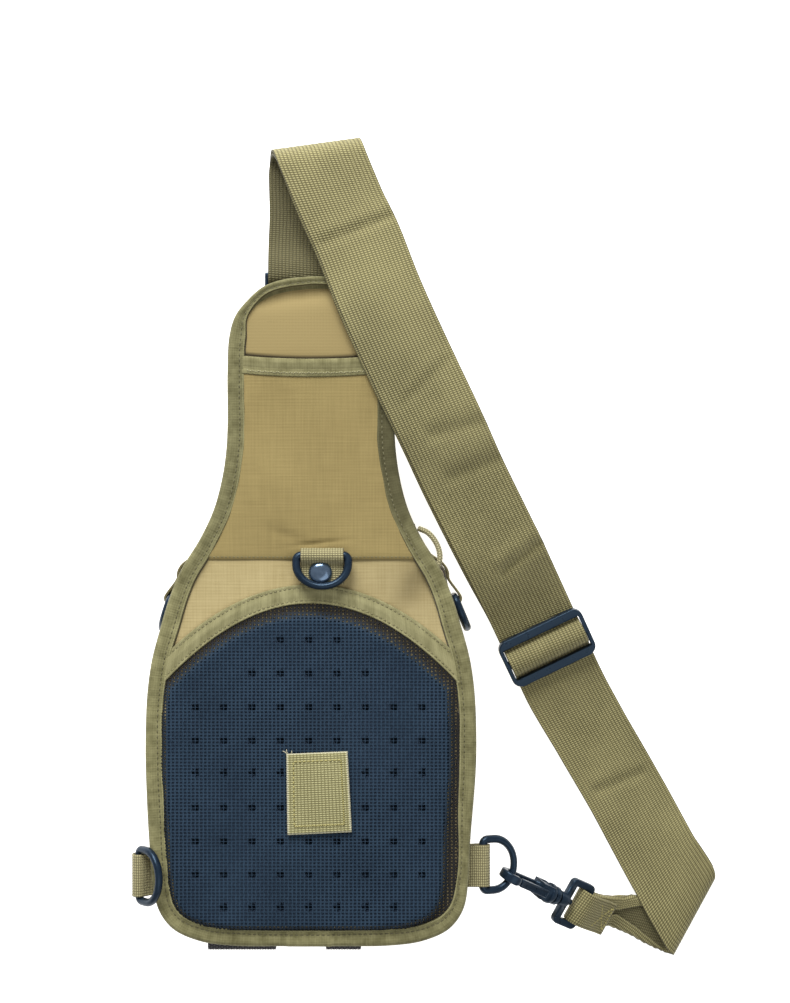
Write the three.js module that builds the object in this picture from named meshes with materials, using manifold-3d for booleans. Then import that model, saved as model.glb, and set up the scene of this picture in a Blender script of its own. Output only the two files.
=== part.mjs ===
// A single-strap sling pack that lies on its front with its back panel up. Millimetres, +Z up.
// u runs across the back panel from its centre line and v up the panel from its lower edge.
import * as THREE from "three";
import { mergeVertices } from "three/addons/utils/BufferGeometryUtils.js";
import Module from "manifold-3d";

const REST_V = 110; // v of the part's origin, which lies on the flat of the front
const EDGE_STEPS = 38; // points along each half of the panel's outline
const FRONT_RISE = { from: 215, to: 387, height: 44 }; // the front climbs towards the neck
const WALL = 1.8; // cloth walls of the bag
const LEVEL = { rim: 51.7, zipLow: 52, zipHigh: 60, gussetLow: 60.3, gussetHigh: 69.8 };
const PANEL = { low: 71.7, top: 75 };
const GUSSET_INSET = 6; // the walls stand inside the panel's edge
const FLARE = { v: 217, reach: 10, out: 6.5 }; // where the walls swell out beside the neck's foot
const TOP_TUCK = { from: 362, to: 386, by: 5 }; // the walls stand further in under the top of the neck
const BINDING = { width: 10, narrow: 5, thick: 1.2, lap: 8 };
const LAYER = 75.3; // first layer sewn on to the panel
const ARCH = { top: 205, drop: 43, at: 85, width: 11 };
const PAD = { top: 80.5, pitchU: 16.5, firstU: -66.7, hole: 2.1 };
const MESH = 0.8;
const POCKET = { low: 225, high: 343, thick: 1, lift: 6.5, liftFrom: 270 };
const WEB = { thick: 1.4, wide: 24.6 }; // narrow webbing of the tabs
const D_RING = { half: 15.1, arm: 7, bow: 12.9, wire: 2.4, corner: 3 };
const LOOP = 3.5; // radius of a tab's turn round its ring, to the middle of the webbing
const STRAP = { wide: 50, thick: 1.6 };
const SLIDER = { at: [142.4, 169.4, 22], slope: 18, heading: 25.7 };
const SLIDER_SIZE = { long: 56, wide: 32.5, bar: 5.6, middle: 4, side: 2.6, thick: 4 };
const RING = { u: -1.8, low: 384.3, high: 394.3, z: 64, bar: 4, inner: 50.8, outer: 56 };
const HOOK = { at: [118.6, 36.2, 58.4], heading: -28.95, slope: 30, wide: 6.4, inner: 4.1, outer: 7.8 };
const EYE = { near: 44, far: 58, bar: 4.3, long: 30 };
const GATE = { tip: 3.5, pivot: [25, 5.2], thick: 2.8 };

// Half width of the back panel, from the top of the neck down to the lower edge.
const EDGE = [
  { half: 0, v: 390.3 },
  { half: 15, v: 389.1 },
  { half: 28, v: 384.6 },
  { half: 37.5, v: 376.4 },
  { half: 44.2, v: 367.4 },
  { half: 47.4, v: 355 },
  { half: 48.2, v: 334 },
  { half: 48, v: 306 },
  { half: 49.1, v: 289 },
  { half: 52, v: 271.5 },
  { half: 57, v: 254 },
  { half: 65, v: 237 },
  { half: 76, v: 219 },
  { half: 83, v: 202 },
  { half: 88.4, v: 184 },
  { half: 92.7, v: 167 },
  { half: 95.2, v: 147 },
  { half: 96, v: 115 },
  { half: 95, v: 85 },
  { half: 93.3, v: 60 },
  { half: 91.3, v: 36 },
  { half: 87.5, v: 20 },
  { half: 79, v: 9.2 },
  { half: 64, v: 2.6 },
  { half: 45, v: 0.3 },
  { half: 20, v: 0 },
  { half: 0, v: 0 },
];

// Rows of holes through the foam pad.
const HOLE_ROWS = [
  { v: 179, holes: 3 },
  { v: 159.5, holes: 5 },
  { v: 139.5, holes: 9 },
  { v: 120.3, holes: 9 },
  { v: 101.4, holes: 9 },
  { v: 81.3, holes: 9 },
  { v: 61.6, holes: 9 },
  { v: 42.4, holes: 9 },
  { v: 23.2, holes: 7 },
];

const COLOUR = {
  tan: 0xb4a069,
  olive: 0x8c855c,
  webbing: 0x968e62,
  foam: 0x233044,
  net: 0x1b1d22,
  black: 0x16171a,
  plastic: 0x2a3448,
  rivet: 0x2e3038,
  zip: 0x3a2c22,
};

const wasm = await Module();
wasm.setup();
const root = new THREE.Group();
const pack = new THREE.Group();
pack.position.y = -REST_V;
root.add(pack);

const rad = THREE.MathUtils.degToRad;
const lerp = THREE.MathUtils.lerp;

// Adds a geometry as a named node.
function node(name, geometry, colour, parent = pack, roughness = 0.85) {
  const material = new THREE.MeshStandardMaterial({ color: colour, roughness, metalness: 0 });
  const mesh = new THREE.Mesh(geometry, material);
  mesh.name = name;
  parent.add(mesh);
}

// A closed body from vertices and triangles, turned so that its faces point out.
function body(points, triangles) {
  const at = triangles.flat().map((i) => new THREE.Vector3(...points[i]));
  let volume = 0;
  for (let i = 0; i < at.length; i += 3) volume += at[i].dot(at[i + 1].clone().cross(at[i + 2]));
  const faces = volume < 0 ? triangles.map(([a, b, c]) => [a, c, b]) : triangles;
  const geometry = new THREE.BufferGeometry();
  geometry.setAttribute("position", new THREE.Float32BufferAttribute(points.flat(), 3));
  geometry.setIndex(faces.flat());
  geometry.computeVertexNormals();
  return geometry;
}

// Closes a ring with a fan of triangles.
function fan(n) {
  return Array.from({ length: n - 2 }, (_, i) => [0, i + 1, i + 2]);
}

// Closes a mirrored ring with rungs from side to side, so that it can bend along v.
function ladder(n) {
  const rungs = [[0, 1, n - 1]];
  for (let i = 1; i < n / 2 - 1; i++) rungs.push([i, i + 1, n - i - 1], [i, n - i - 1, n - i]);
  rungs.push([n / 2 - 1, n / 2, n / 2 + 1]);
  return rungs;
}

// A skin over a row of rings of points, closed at both ends or joined into a loop.
function skin(rings, { loop = false, cap = fan } = {}) {
  const n = rings[0].length;
  const end = (rings.length - 1) * n;
  const triangles = [];
  for (let r = 0; r < rings.length - (loop ? 0 : 1); r++) {
    const a = r * n;
    const b = ((r + 1) % rings.length) * n;
    for (let i = 0; i < n; i++) {
      const j = (i + 1) % n;
      triangles.push([a + i, b + i, b + j], [a + i, b + j, a + j]);
    }
  }
  if (!loop) {
    for (const [a, b, c] of cap(n)) triangles.push([a, b, c], [end + a, end + c, end + b]);
  }
  return body(rings.flat(), triangles);
}

// A flat outline drawn in x and y, with holes, made as thick as depth about its own plane.
function prism(outline, depth, holes = []) {
  const shape = new THREE.Shape(outline.map(([x, y]) => new THREE.Vector2(x, y)));
  shape.holes = holes.map((hole) => new THREE.Path(hole.map(([x, y]) => new THREE.Vector2(x, y))));
  return new THREE.ExtrudeGeometry(shape, { depth, bevelEnabled: false }).translate(0, 0, -depth / 2);
}

// Turns a geometry so that its x and y lie along two given directions, and moves it.
function placed(geometry, at, xAxis, yAxis) {
  const x = new THREE.Vector3(...xAxis);
  const y = new THREE.Vector3(...yAxis);
  const turn = new THREE.Matrix4().makeBasis(x, y, x.clone().cross(y));
  return geometry.applyMatrix4(turn.setPosition(...at));
}

function arc(x, y, radius, from, to, steps, radiusY = radius) {
  return Array.from({ length: steps + 1 }, (_, i) => {
    const angle = rad(lerp(from, to, i / steps));
    return [x + radius * Math.cos(angle), y + radiusY * Math.sin(angle)];
  });
}

function rectangle(x0, y0, x1, y1, corner) {
  return [
    ...arc(x1 - corner, y0 + corner, corner, -90, 0, 2),
    ...arc(x1 - corner, y1 - corner, corner, 0, 90, 2),
    ...arc(x0 + corner, y1 - corner, corner, 90, 180, 2),
    ...arc(x0 + corner, y0 + corner, corner, 180, 270, 2),
  ];
}

// The outline of a strip that follows a path.
function strip(path, thick) {
  const side = (sign) =>
    path.map(([x, y], i) => {
      const before = path[Math.max(i - 1, 0)];
      const after = path[Math.min(i + 1, path.length - 1)];
      const along = new THREE.Vector2(after[0] - before[0], after[1] - before[1]).normalize();
      return [x - (along.y * sign * thick) / 2, y + (along.x * sign * thick) / 2];
    });
  return [...side(1), ...side(-1).reverse()];
}

// A round bar bent along a closed path in x and y.
function bentBar(path, radius, sides = 8) {
  const rings = path.map(([x, y], i) => {
    const before = path[(i + path.length - 1) % path.length];
    const after = path[(i + 1) % path.length];
    const along = new THREE.Vector2(after[0] - before[0], after[1] - before[1]).normalize();
    return arc(0, 0, radius, 22.5, 382.5, sides)
      .slice(0, sides)
      .map(([out, up]) => [x - along.y * out, y + along.x * out, up]);
  });
  return skin(rings, { loop: true });
}

function asManifold(geometry) {
  const plain = geometry.index ? geometry.toNonIndexed() : geometry;
  const bare = new THREE.BufferGeometry().setAttribute("position", plain.getAttribute("position"));
  const merged = mergeVertices(bare, 1e-4);
  const vertProperties = merged.getAttribute("position").array;
  const triVerts = new Uint32Array(merged.index.array);
  return new wasm.Manifold(new wasm.Mesh({ numProp: 3, vertProperties, triVerts }));
}

function asGeometry(manifold) {
  const made = manifold.getMesh();
  const geometry = new THREE.BufferGeometry();
  geometry.setAttribute("position", new THREE.BufferAttribute(made.vertProperties, 3));
  geometry.setIndex(new THREE.BufferAttribute(made.triVerts, 1));
  geometry.computeVertexNormals();
  return geometry;
}

// A round pin along x.
function pin(x0, x1, radius, sides = 14) {
  const upright = new THREE.CylinderGeometry(radius, radius, x1 - x0, sides);
  return upright.rotateZ(Math.PI / 2).translate((x0 + x1) / 2, 0, 0);
}

// The panel's outline: a ring of points from the top of the neck, down the right side and back up the left.
const halfEdge = new THREE.CatmullRomCurve3(EDGE.map(({ half, v }) => new THREE.Vector3(half, v, 0)))
  .getSpacedPoints(EDGE_STEPS)
  .map((p) => [Math.max(p.x, 0), p.y]);
const mirrored = (half) => [...half, ...half.slice(1, -1).reverse().map(([u, v]) => [-u, v])];
const edge = mirrored(halfEdge);
const count = edge.length;
const inward = edge.map((_, i) => {
  const [u0, v0] = edge[(i + count - 1) % count];
  const [u1, v1] = edge[(i + 1) % count];
  const along = new THREE.Vector2(u1 - u0, v1 - v0).normalize();
  return [along.y, -along.x];
});

// A place on the outline by its number, which may lie between two points, moved in by a distance.
function inside(t, distance) {
  const i = Math.floor(t);
  const share = t - i;
  const here = (i + count) % count;
  const next = (i + 1 + count) % count;
  const mix = (list, k) => lerp(list[here][k], list[next][k], share);
  return [mix(edge, 0) + mix(inward, 0) * distance, mix(edge, 1) + mix(inward, 1) * distance];
}

// The number of the place on the right side at a height v.
function numberAt(v) {
  const i = halfEdge.findIndex((p) => p[1] < v);
  return i - 1 + (halfEdge[i - 1][1] - v) / (halfEdge[i - 1][1] - halfEdge[i][1]);
}

function steps(from, to) {
  const whole = [];
  for (let i = Math.floor(from) + 1; i < to; i++) whole.push(i);
  return [from, ...whole, to];
}

// Half width at a height v inside a line that follows the outline at a distance.
function insetHalf(v, distance) {
  const line = halfEdge.map((_, i) => inside(i, distance));
  const i = line.findIndex((p) => p[1] < v);
  const [u0, v0] = line[i - 1];
  const [u1, v1] = line[i];
  return lerp(u0, u1, (v0 - v) / (v0 - v1));
}
const flareShare = (v) => Math.exp(-(((v - FLARE.v) / FLARE.reach) ** 2));
const topTuck = (v) => TOP_TUCK.by * THREE.MathUtils.smoothstep(v, TOP_TUCK.from, TOP_TUCK.to);
const wallInset = (v) => GUSSET_INSET + topTuck(v) - FLARE.out * flareShare(v);

// Sweeps a section, given as inset and height at each place, along part or all of the outline.
function alongEdge(numbers, section, loop = false) {
  const rings = numbers.map((t) =>
    section(inside(t, 0)[1]).map(([distance, z]) => [...inside(t, distance), z]),
  );
  return skin(rings, { loop });
}

const around = Array.from({ length: count }, (_, i) => i);

// Bag body
function frontHeight(v) {
  const share = Math.min(Math.max((v - FRONT_RISE.from) / (FRONT_RISE.to - FRONT_RISE.from), 0), 1);
  return FRONT_RISE.height * share ** 1.7;
}

function shellRing(inset, height) {
  return around.map((i) => {
    const v = edge[i][1];
    const low = frontHeight(v);
    return [...inside(i, inset(v)), height(low, LEVEL.rim - low)];
  });
}

node(
  "front_shell",
  skin(
    [
      shellRing((v) => 14 + topTuck(v) - 4 * flareShare(v), (low) => low),
      shellRing((v) => 8.5 + topTuck(v) - 7 * flareShare(v), (low, tall) => low + 0.07 * tall),
      shellRing(wallInset, (low, tall) => low + 0.25 * tall),
      shellRing(wallInset, () => LEVEL.rim),
      shellRing((v) => wallInset(v) + WALL, () => LEVEL.rim),
      shellRing((v) => wallInset(v) + WALL, (low, tall) => low + 0.25 * tall + WALL),
      shellRing((v) => 14.6 + topTuck(v) - 4 * flareShare(v), (low) => low + WALL),
    ],
    { cap: ladder },
  ),
  COLOUR.tan,
);

const ZIP_END = 62; // v where the zip stops on each side
const zipEnd = numberAt(ZIP_END);
const gussetWall = (low, high) => (v) => {
  const d = wallInset(v);
  return [
    [d, low],
    [d, high],
    [d + WALL, high],
    [d + WALL, low],
  ];
};
node(
  "zip_band",
  alongEdge(steps(-zipEnd, zipEnd), (v) => {
    const d = wallInset(v);
    return [
      [d, LEVEL.zipLow],
      [d - 1, LEVEL.zipLow + 3],
      [d - 1, LEVEL.zipHigh - 3],
      [d, LEVEL.zipHigh],
      [d + WALL, LEVEL.zipHigh],
      [d + WALL, LEVEL.zipLow],
    ];
  }),
  COLOUR.zip,
);
node(
  "base_gusset",
  alongEdge(steps(zipEnd + 0.03, count - zipEnd - 0.03), gussetWall(LEVEL.zipLow, LEVEL.zipHigh)),
  COLOUR.tan,
);
node(
  "back_gusset",
  alongEdge(
    around,
    (v) => [
      [wallInset(v), LEVEL.gussetLow],
      [5 + topTuck(v), LEVEL.gussetHigh],
      [5 + topTuck(v) + WALL, LEVEL.gussetHigh],
      [wallInset(v) + WALL, LEVEL.gussetLow],
    ],
    true,
  ),
  COLOUR.tan,
);
const panelRing = (z) => around.map((i) => [...inside(i, BINDING.thick + 0.3), z]);
node("back_panel", skin([panelRing(PANEL.low), panelRing(PANEL.top)], { cap: ladder }), COLOUR.tan);

node(
  "edge_binding",
  alongEdge(
    around,
    (v) => {
      const wide = lerp(BINDING.width, BINDING.narrow, THREE.MathUtils.smoothstep(v, 362, 386));
      const top = LAYER + BINDING.thick;
      const under = PANEL.low - 0.3;
      return [
        [wide, LAYER],
        [wide, top],
        [1.2, top],
        [0, LAYER],
        [0, under],
        [1.2, under - BINDING.thick],
        [BINDING.lap + topTuck(v), under - BINDING.thick],
        [BINDING.lap + topTuck(v), under],
        [BINDING.thick, under],
        [BINDING.thick, LAYER],
      ];
    },
    true,
  ),
  COLOUR.olive,
);

const zipPull = numberAt(244);
node(
  "zip_slider",
  alongEdge([zipPull - 0.35, zipPull + 0.35], (v) => {
    const d = wallInset(v) - 1.4;
    return [
      [d, LEVEL.zipLow + 0.6],
      [d - 3, LEVEL.zipLow + 1.4],
      [d - 3, LEVEL.zipHigh - 1.4],
      [d, LEVEL.zipHigh - 0.6],
    ];
  }),
  COLOUR.black,
);

// The cord of the zip pull bows out beside the neck's foot and tucks in again under the binding.
const cordPath = new THREE.CatmullRomCurve3(
  [
    [63.2, 243, 57],
    [70.5, 239.5, 60],
    [75.8, 232, 62.5],
    [77, 224.5, 65],
    [73.2, 217.3, 66.4],
  ].map((p) => new THREE.Vector3(...p)),
).getSpacedPoints(10);
const cordRings = cordPath.map((p, i) => {
  const along = cordPath[Math.min(i + 1, 10)].clone().sub(cordPath[Math.max(i - 1, 0)]).normalize();
  const across = new THREE.Vector3(0, 0, 1).cross(along).normalize();
  const up = along.clone().cross(across);
  return arc(0, 0, 1.6, 0, 360, 6)
    .slice(0, 6)
    .map(([a, b]) => p.clone().addScaledVector(across, a).addScaledVector(up, b).toArray());
});
node("zip_pull_cord", skin(cordRings), COLOUR.webbing);

// Layers sewn on the back panel
const archAt = (u) => ARCH.top - ARCH.drop * (u / ARCH.at) ** 2;
const archOffset = (u, out) => {
  const slope = (-2 * ARCH.drop * u) / ARCH.at ** 2;
  const long = Math.hypot(1, slope);
  return [u - (slope * out) / long, archAt(u) + out / long];
};

// One edge of the arched tape, from the binding on the left to the binding on the right.
function archEdge(out) {
  const sewn = BINDING.width + 0.4;
  let low = 60;
  let high = 95;
  for (let i = 0; i < 24; i++) {
    const middle = (low + high) / 2;
    const [u, v] = archOffset(middle, out);
    if (u < insetHalf(v, sewn)) low = middle;
    else high = middle;
  }
  return Array.from({ length: 19 }, (_, i) => archOffset(lerp(-low, low, i / 18), out));
}

const tapeZ = LAYER + BINDING.thick / 2;
const archTape = [...archEdge(ARCH.width / 2), ...archEdge(-ARCH.width / 2).reverse()];
node("arch_binding", prism(archTape, BINDING.thick).translate(0, 0, tapeZ), COLOUR.olive);

const meshTop = archEdge(-ARCH.width / 2 - 0.3).slice(9);
const meshSide = halfEdge
  .map((_, i) => inside(i, BINDING.width + 0.4))
  .filter(([, v]) => v < meshTop[meshTop.length - 1][1] - 4);
meshSide[meshSide.length - 1][0] = 0;
const meshEdge = mirrored([...meshTop, ...meshSide]);
const padEdge = meshEdge.map(([u, v]) => [0.953 * u - 1.7, 0.948 * v + 2.6]);
const holes = HOLE_ROWS.flatMap(({ v, holes: wanted }) =>
  Array.from({ length: wanted }, (_, i) => {
    const u = PAD.firstU + PAD.pitchU * (i + (9 - wanted) / 2);
    return arc(u, v, PAD.hole, 0, 360, 6).slice(0, 6);
  }),
);
const padThick = PAD.top - LAYER;
node("foam_pad", prism(padEdge, padThick, holes).translate(0, 0, LAYER + padThick / 2), COLOUR.foam);

// A ring round the pad's edge, moved out by a distance.
function padRing(out, z) {
  const middle = [-1.7, 100];
  return padEdge.map(([u, v]) => {
    const away = new THREE.Vector2(u - middle[0], v - middle[1]).normalize();
    return [u + away.x * out, v + away.y * out, z];
  });
}
const meshLow = PAD.top + 0.3;
const netRing = (z) => meshEdge.map(([u, v]) => [u, v, z]);
node(
  "mesh_cover",
  skin(
    [
      padRing(0.3, meshLow),
      padRing(0.5, LAYER + 0.2),
      netRing(LAYER),
      netRing(LAYER + MESH),
      padRing(1.4, LAYER + MESH + 0.4),
      padRing(0.6, meshLow + MESH),
    ],
    { cap: ladder },
  ),
  COLOUR.net,
);

const PATCH = [
  [-13.8, 112.6],
  [21.5, 114.1],
  [24, 67.4],
  [-13.2, 65.7],
];
const patchLow = meshLow + MESH + 0.3;
node("webbing_patch", prism(PATCH, 2).translate(0, 0, patchLow + 1), COLOUR.webbing);

// Slip pocket: a sheet whose mouth stands off the panel in the middle.
const pocketLift = (share, v) => {
  const rise = Math.max((v - POCKET.liftFrom) / (POCKET.high - POCKET.liftFrom), 0);
  return POCKET.lift * (1 - share ** 2) ** 2 * rise ** 2;
};
const across = [-1, -0.8, -0.6, -0.4, -0.2, 0, 0.2, 0.4, 0.6, 0.8, 1];
const pocketHalf = (v) => insetHalf(v, BINDING.width + 0.9);
const pocketRow = (v, up) => across.map((s) => [s * pocketHalf(v), v, LAYER + up + pocketLift(s, v)]);
const pocketRows = [POCKET.low, 230, 236, 243, 251, 260, 270, 283, 297, 313, POCKET.high - 9, POCKET.high];
const pocketRings = pocketRows.map((v) => [...pocketRow(v, 0), ...pocketRow(v, POCKET.thick).reverse()]);
node("slip_pocket", skin(pocketRings, { cap: ladder }), COLOUR.tan);
node(
  "slip_pocket_binding",
  skin(
    across.map((s) => {
      const at = (v, up) => [s * pocketHalf(v), v, LAYER + up + pocketLift(s, Math.min(v, POCKET.high))];
      const top = POCKET.thick + 0.4;
      return [
        at(POCKET.high - 9, top),
        at(POCKET.high - 9, top + 0.8),
        at(POCKET.high + 1.2, top + 0.8),
        at(POCKET.high + 1.2, 0.2),
        at(POCKET.high + 0.4, 0.2),
        at(POCKET.high + 0.4, top),
      ];
    }),
  ),
  COLOUR.olive,
);

// D-rings, each with its bar along x and its bow towards -y
function dRing(arm = D_RING.arm) {
  const side = D_RING.half - D_RING.corner;
  return bentBar(
    [
      ...arc(-side, -D_RING.corner, D_RING.corner, 90, 180, 2),
      ...arc(0, -arm, D_RING.half, 180, 360, 10, D_RING.bow),
      ...arc(side, -D_RING.corner, D_RING.corner, 0, 90, 2),
    ],
    D_RING.wire,
  );
}

// Centre tab: its under layer lies on the pocket's foot, its upper layer comes back over it to the rivet.
const CENTRE = { u: 6.8, bar: 227.8, arm: 5.3, end: 211.2, lean: 8.5, rivet: [5.7, 216.8] };
const centreLow = LAYER + POCKET.thick + 0.3 + WEB.thick / 2;
const centreBar = centreLow + LOOP;
const centrePath = [
  [CENTRE.end, centreLow],
  [CENTRE.bar, centreLow],
  ...arc(CENTRE.bar, centreBar, LOOP, -60, 150, 8),
  [CENTRE.bar - 4.4, centreLow + WEB.thick + 0.5],
  [CENTRE.bar - 5.2, centreLow + WEB.thick + 0.3],
  [CENTRE.end, centreLow + WEB.thick + 0.3],
];
const centreTab = prism(strip(centrePath, WEB.thick), WEB.wide);
node("centre_tab", placed(centreTab, [CENTRE.u, 0, 0], [0, 1, 0], [0, 0, 1]), COLOUR.webbing);
const centreBack = [0, Math.cos(rad(CENTRE.lean)), -Math.sin(rad(CENTRE.lean))];
const centreRing = placed(dRing(CENTRE.arm), [CENTRE.u, CENTRE.bar, centreBar], [1, 0, 0], centreBack);
node("centre_d_ring", centreRing, COLOUR.plastic, pack, 0.35);
const rivetLow = centreLow + 1.5 * WEB.thick + 0.6;
const rivetRing = (radius, up) => {
  const circle = arc(...CENTRE.rivet, radius, 0, 360, 16).slice(0, 16);
  return circle.map((p) => [...p, rivetLow + up]);
};
const rivetDome = [rivetRing(5.9, 0), rivetRing(5.9, 0.7), rivetRing(4.6, 2), rivetRing(2, 2.7)];
node("centre_rivet", skin(rivetDome), COLOUR.rivet, pack, 0.2);

// Lower tabs: each leaves the back gusset under the binding and turns round its ring.
const LEFT = { bar: [-101, 40, 70.3], lean: 47.5 };
const leftPath = [
  [-88.2, 66.2],
  [-93, 66],
  ...arc(LEFT.bar[0], LEFT.bar[2], LOOP, 285, 70, 8),
  [-95, 68.9],
  [-92.4, 68.2],
  [-88.2, 68.1],
];
node(
  "left_tab",
  placed(prism(strip(leftPath, WEB.thick), WEB.wide), [0, LEFT.bar[1], 0], [1, 0, 0], [0, 0, 1]),
  COLOUR.webbing,
);
const leftBow = [-Math.cos(rad(LEFT.lean)), 0, -Math.sin(rad(LEFT.lean))];
node("left_d_ring", placed(dRing(), LEFT.bar, [0, 1, 0], leftBow), COLOUR.plastic, pack, 0.35);

const RIGHT = { bar: [101, 44.4, 64.5], droop: 20 };
const rightPath = [
  [88.4, 65.2],
  [95, 62.4],
  ...arc(RIGHT.bar[0], RIGHT.bar[2], LOOP, 250, 440, 8),
  [96.5, 67.4],
  [88.4, 67.6],
];
node(
  "right_tab",
  placed(prism(strip(rightPath, WEB.thick), WEB.wide), [0, RIGHT.bar[1], 0], [1, 0, 0], [0, 0, 1]),
  COLOUR.webbing,
);
const rightBow = [-Math.cos(rad(RIGHT.droop)), 0, Math.sin(rad(RIGHT.droop))];
node("right_d_ring", placed(dRing(), RIGHT.bar, [0, 1, 0], rightBow), COLOUR.plastic, pack, 0.35);

// Side tabs, sewn to the front shell below the zip, with their rings along the flaring wall
const SIDE = [
  { name: "left", sign: -1, bow: 18.4 },
  { name: "right", sign: 1, bow: 22.8 },
];
const SIDE_BAR = { v: 201, z: 37 };
const wallLine = halfEdge.map((_, i) => inside(i, wallInset(edge[i][1])));
const sewnWall = wallLine.filter(([, v]) => v > SIDE_BAR.v + 8 && v < SIDE_BAR.v + 36);
// The wall's own line, moved out and shortened at its lower end.
const besideWall = (out) => strip(sewnWall, 2 * out).slice(0, sewnWall.length);
const wallU = wallLine.find(([, v]) => v < SIDE_BAR.v + 4)[0];
const sideBar = wallU + LOOP + WEB.thick / 2 + 2.94;
const sewnOut = 0.4 + WEB.thick / 2;
const sidePath = [
  ...besideWall(sewnOut),
  ...arc(sideBar, SIDE_BAR.v, LOOP, 170, 380, 8),
  ...besideWall(sewnOut + WEB.thick + 0.4).reverse(),
];
for (const { name, sign, bow } of SIDE) {
  const path = sidePath.map(([u, v]) => [sign * u, v]);
  const tab = prism(strip(path, WEB.thick), WEB.wide).translate(0, 0, SIDE_BAR.z);
  node("side_tab_" + name, tab, COLOUR.webbing);
  const back = [-sign * Math.sin(rad(bow)), Math.cos(rad(bow)), 0];
  node(
    "side_d_ring_" + name,
    placed(dRing(), [sign * sideBar, SIDE_BAR.v, SIDE_BAR.z], [0, 0, 1], back),
    COLOUR.plastic,
    pack,
    0.35,
  );
}

// Base tabs: folded webbing under the lower binding
const BASE_TABS = [
  { name: "base_tab_wide", from: -61, to: -21 },
  { name: "base_tab_narrow", from: 8.5, to: 29 },
];
const basePath = [
  [4.6, 65.2],
  [-3.4, 65.2],
  ...arc(-3.4, 66.1, 0.9, 270, 90, 4),
  [4.6, 67],
];
for (const { name, from, to } of BASE_TABS) {
  const tab = prism(strip(basePath, WEB.thick), to - from);
  node(name, placed(tab, [(from + to) / 2, 0, 0], [0, 1, 0], [0, 0, 1]), COLOUR.black);
}

// Ring at the top of the neck, and the tab that holds it
const ringHalf = (wide) => [RING.u - wide / 2, RING.u + wide / 2];
const [ringLeft, ringRight] = ringHalf(RING.outer);
const [holeLeft, holeRight] = ringHalf(RING.inner);
const halfBar = RING.bar / 2;
node(
  "top_ring",
  prism(rectangle(ringLeft, RING.low - halfBar, ringRight, RING.high + halfBar, 2), RING.bar, [
    rectangle(holeLeft, RING.low + halfBar, holeRight, RING.high - halfBar, 0.6),
  ]).translate(0, 0, RING.z),
  COLOUR.plastic,
  pack,
  0.35,
);
const topPath = [
  [RING.low - 3.6, RING.z - 0.95],
  [RING.low - 3, RING.z - 2.3],
  ...arc(RING.low, RING.z, 3.9, -125, 125, 10),
  [RING.low - 3, RING.z + 2.3],
  [RING.low - 3.6, RING.z + 0.95],
];
node(
  "top_tab",
  placed(prism(strip(topPath, WEB.thick), 48), [RING.u, 0, 0], [0, 1, 0], [0, 0, 1]),
  COLOUR.webbing,
);

// Swivel snap hook, drawn with the ring's bar at its origin and its length along x
const hookX = [
  Math.cos(rad(HOOK.heading)) * Math.cos(rad(HOOK.slope)),
  Math.sin(rad(HOOK.heading)) * Math.cos(rad(HOOK.slope)),
  -Math.sin(rad(HOOK.slope)),
];
const hookY = [-Math.sin(rad(HOOK.heading)), Math.cos(rad(HOOK.heading)), 0];
const hookZ = new THREE.Vector3(...hookX).cross(new THREE.Vector3(...hookY)).toArray();
const hookSide = new THREE.Group();
new THREE.Matrix4()
  .makeBasis(new THREE.Vector3(...hookX), new THREE.Vector3(...hookY), new THREE.Vector3(...hookZ))
  .setPosition(...HOOK.at)
  .decompose(hookSide.position, hookSide.quaternion, hookSide.scale);
pack.add(hookSide);
const upright = (outline, wide) => placed(prism(outline, wide), [0, 0, 0], [1, 0, 0], [0, 0, 1]);

const hookOutline = [
  [GATE.tip - 0.5, HOOK.inner],
  ...arc(0, 0, HOOK.inner, 90, 270, 8),
  [20.5, -HOOK.inner],
  [22, -2.4],
  [22, 1.1],
  [23.2, 1.9],
  [28.2, 1.9],
  [28.2, 7],
  [31, 6],
  [31, -6],
  [27, -HOOK.outer],
  ...arc(0, 0, HOOK.outer, 270, 90, 12),
  [GATE.tip - 0.5, HOOK.outer],
];
const hookBody = asManifold(upright(hookOutline, HOOK.wide))
  .add(asManifold(pin(30.5, 38.3, 4.6)))
  .add(asManifold(pin(38, 48, 1.8)))
  .add(asManifold(pin(46.6, 48.2, 3.1)));
node("snap_hook_body", asGeometry(hookBody), COLOUR.plastic, hookSide, 0.35);
const gateOutline = [
  [GATE.tip, GATE.pivot[1] - GATE.thick / 2],
  [GATE.pivot[0], GATE.pivot[1] - GATE.thick / 2 - 1],
  ...arc(GATE.pivot[0], GATE.pivot[1], 2.4, -60, 90, 5),
  [GATE.tip, GATE.pivot[1] + GATE.thick / 2 + 0.6],
];
node("snap_hook_gate", upright(gateOutline, HOOK.wide - 1.6), COLOUR.plastic, hookSide, 0.35);
const half = EYE.bar / 2;
const eyeSide = EYE.long / 2;
const eyeFrame = prism(rectangle(EYE.near - half, -eyeSide, EYE.far + half, eyeSide, 3.4), EYE.bar, [
  rectangle(EYE.near + half, EYE.bar - eyeSide, EYE.far - half, eyeSide - EYE.bar, 1.2),
]);
const swivel = asManifold(eyeFrame)
  .add(asManifold(pin(38.7, EYE.near + half, 4.4)))
  .subtract(asManifold(pin(38, 47, 2.2)));
node("swivel_eye", asGeometry(swivel), COLOUR.plastic, hookSide, 0.35);

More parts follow.
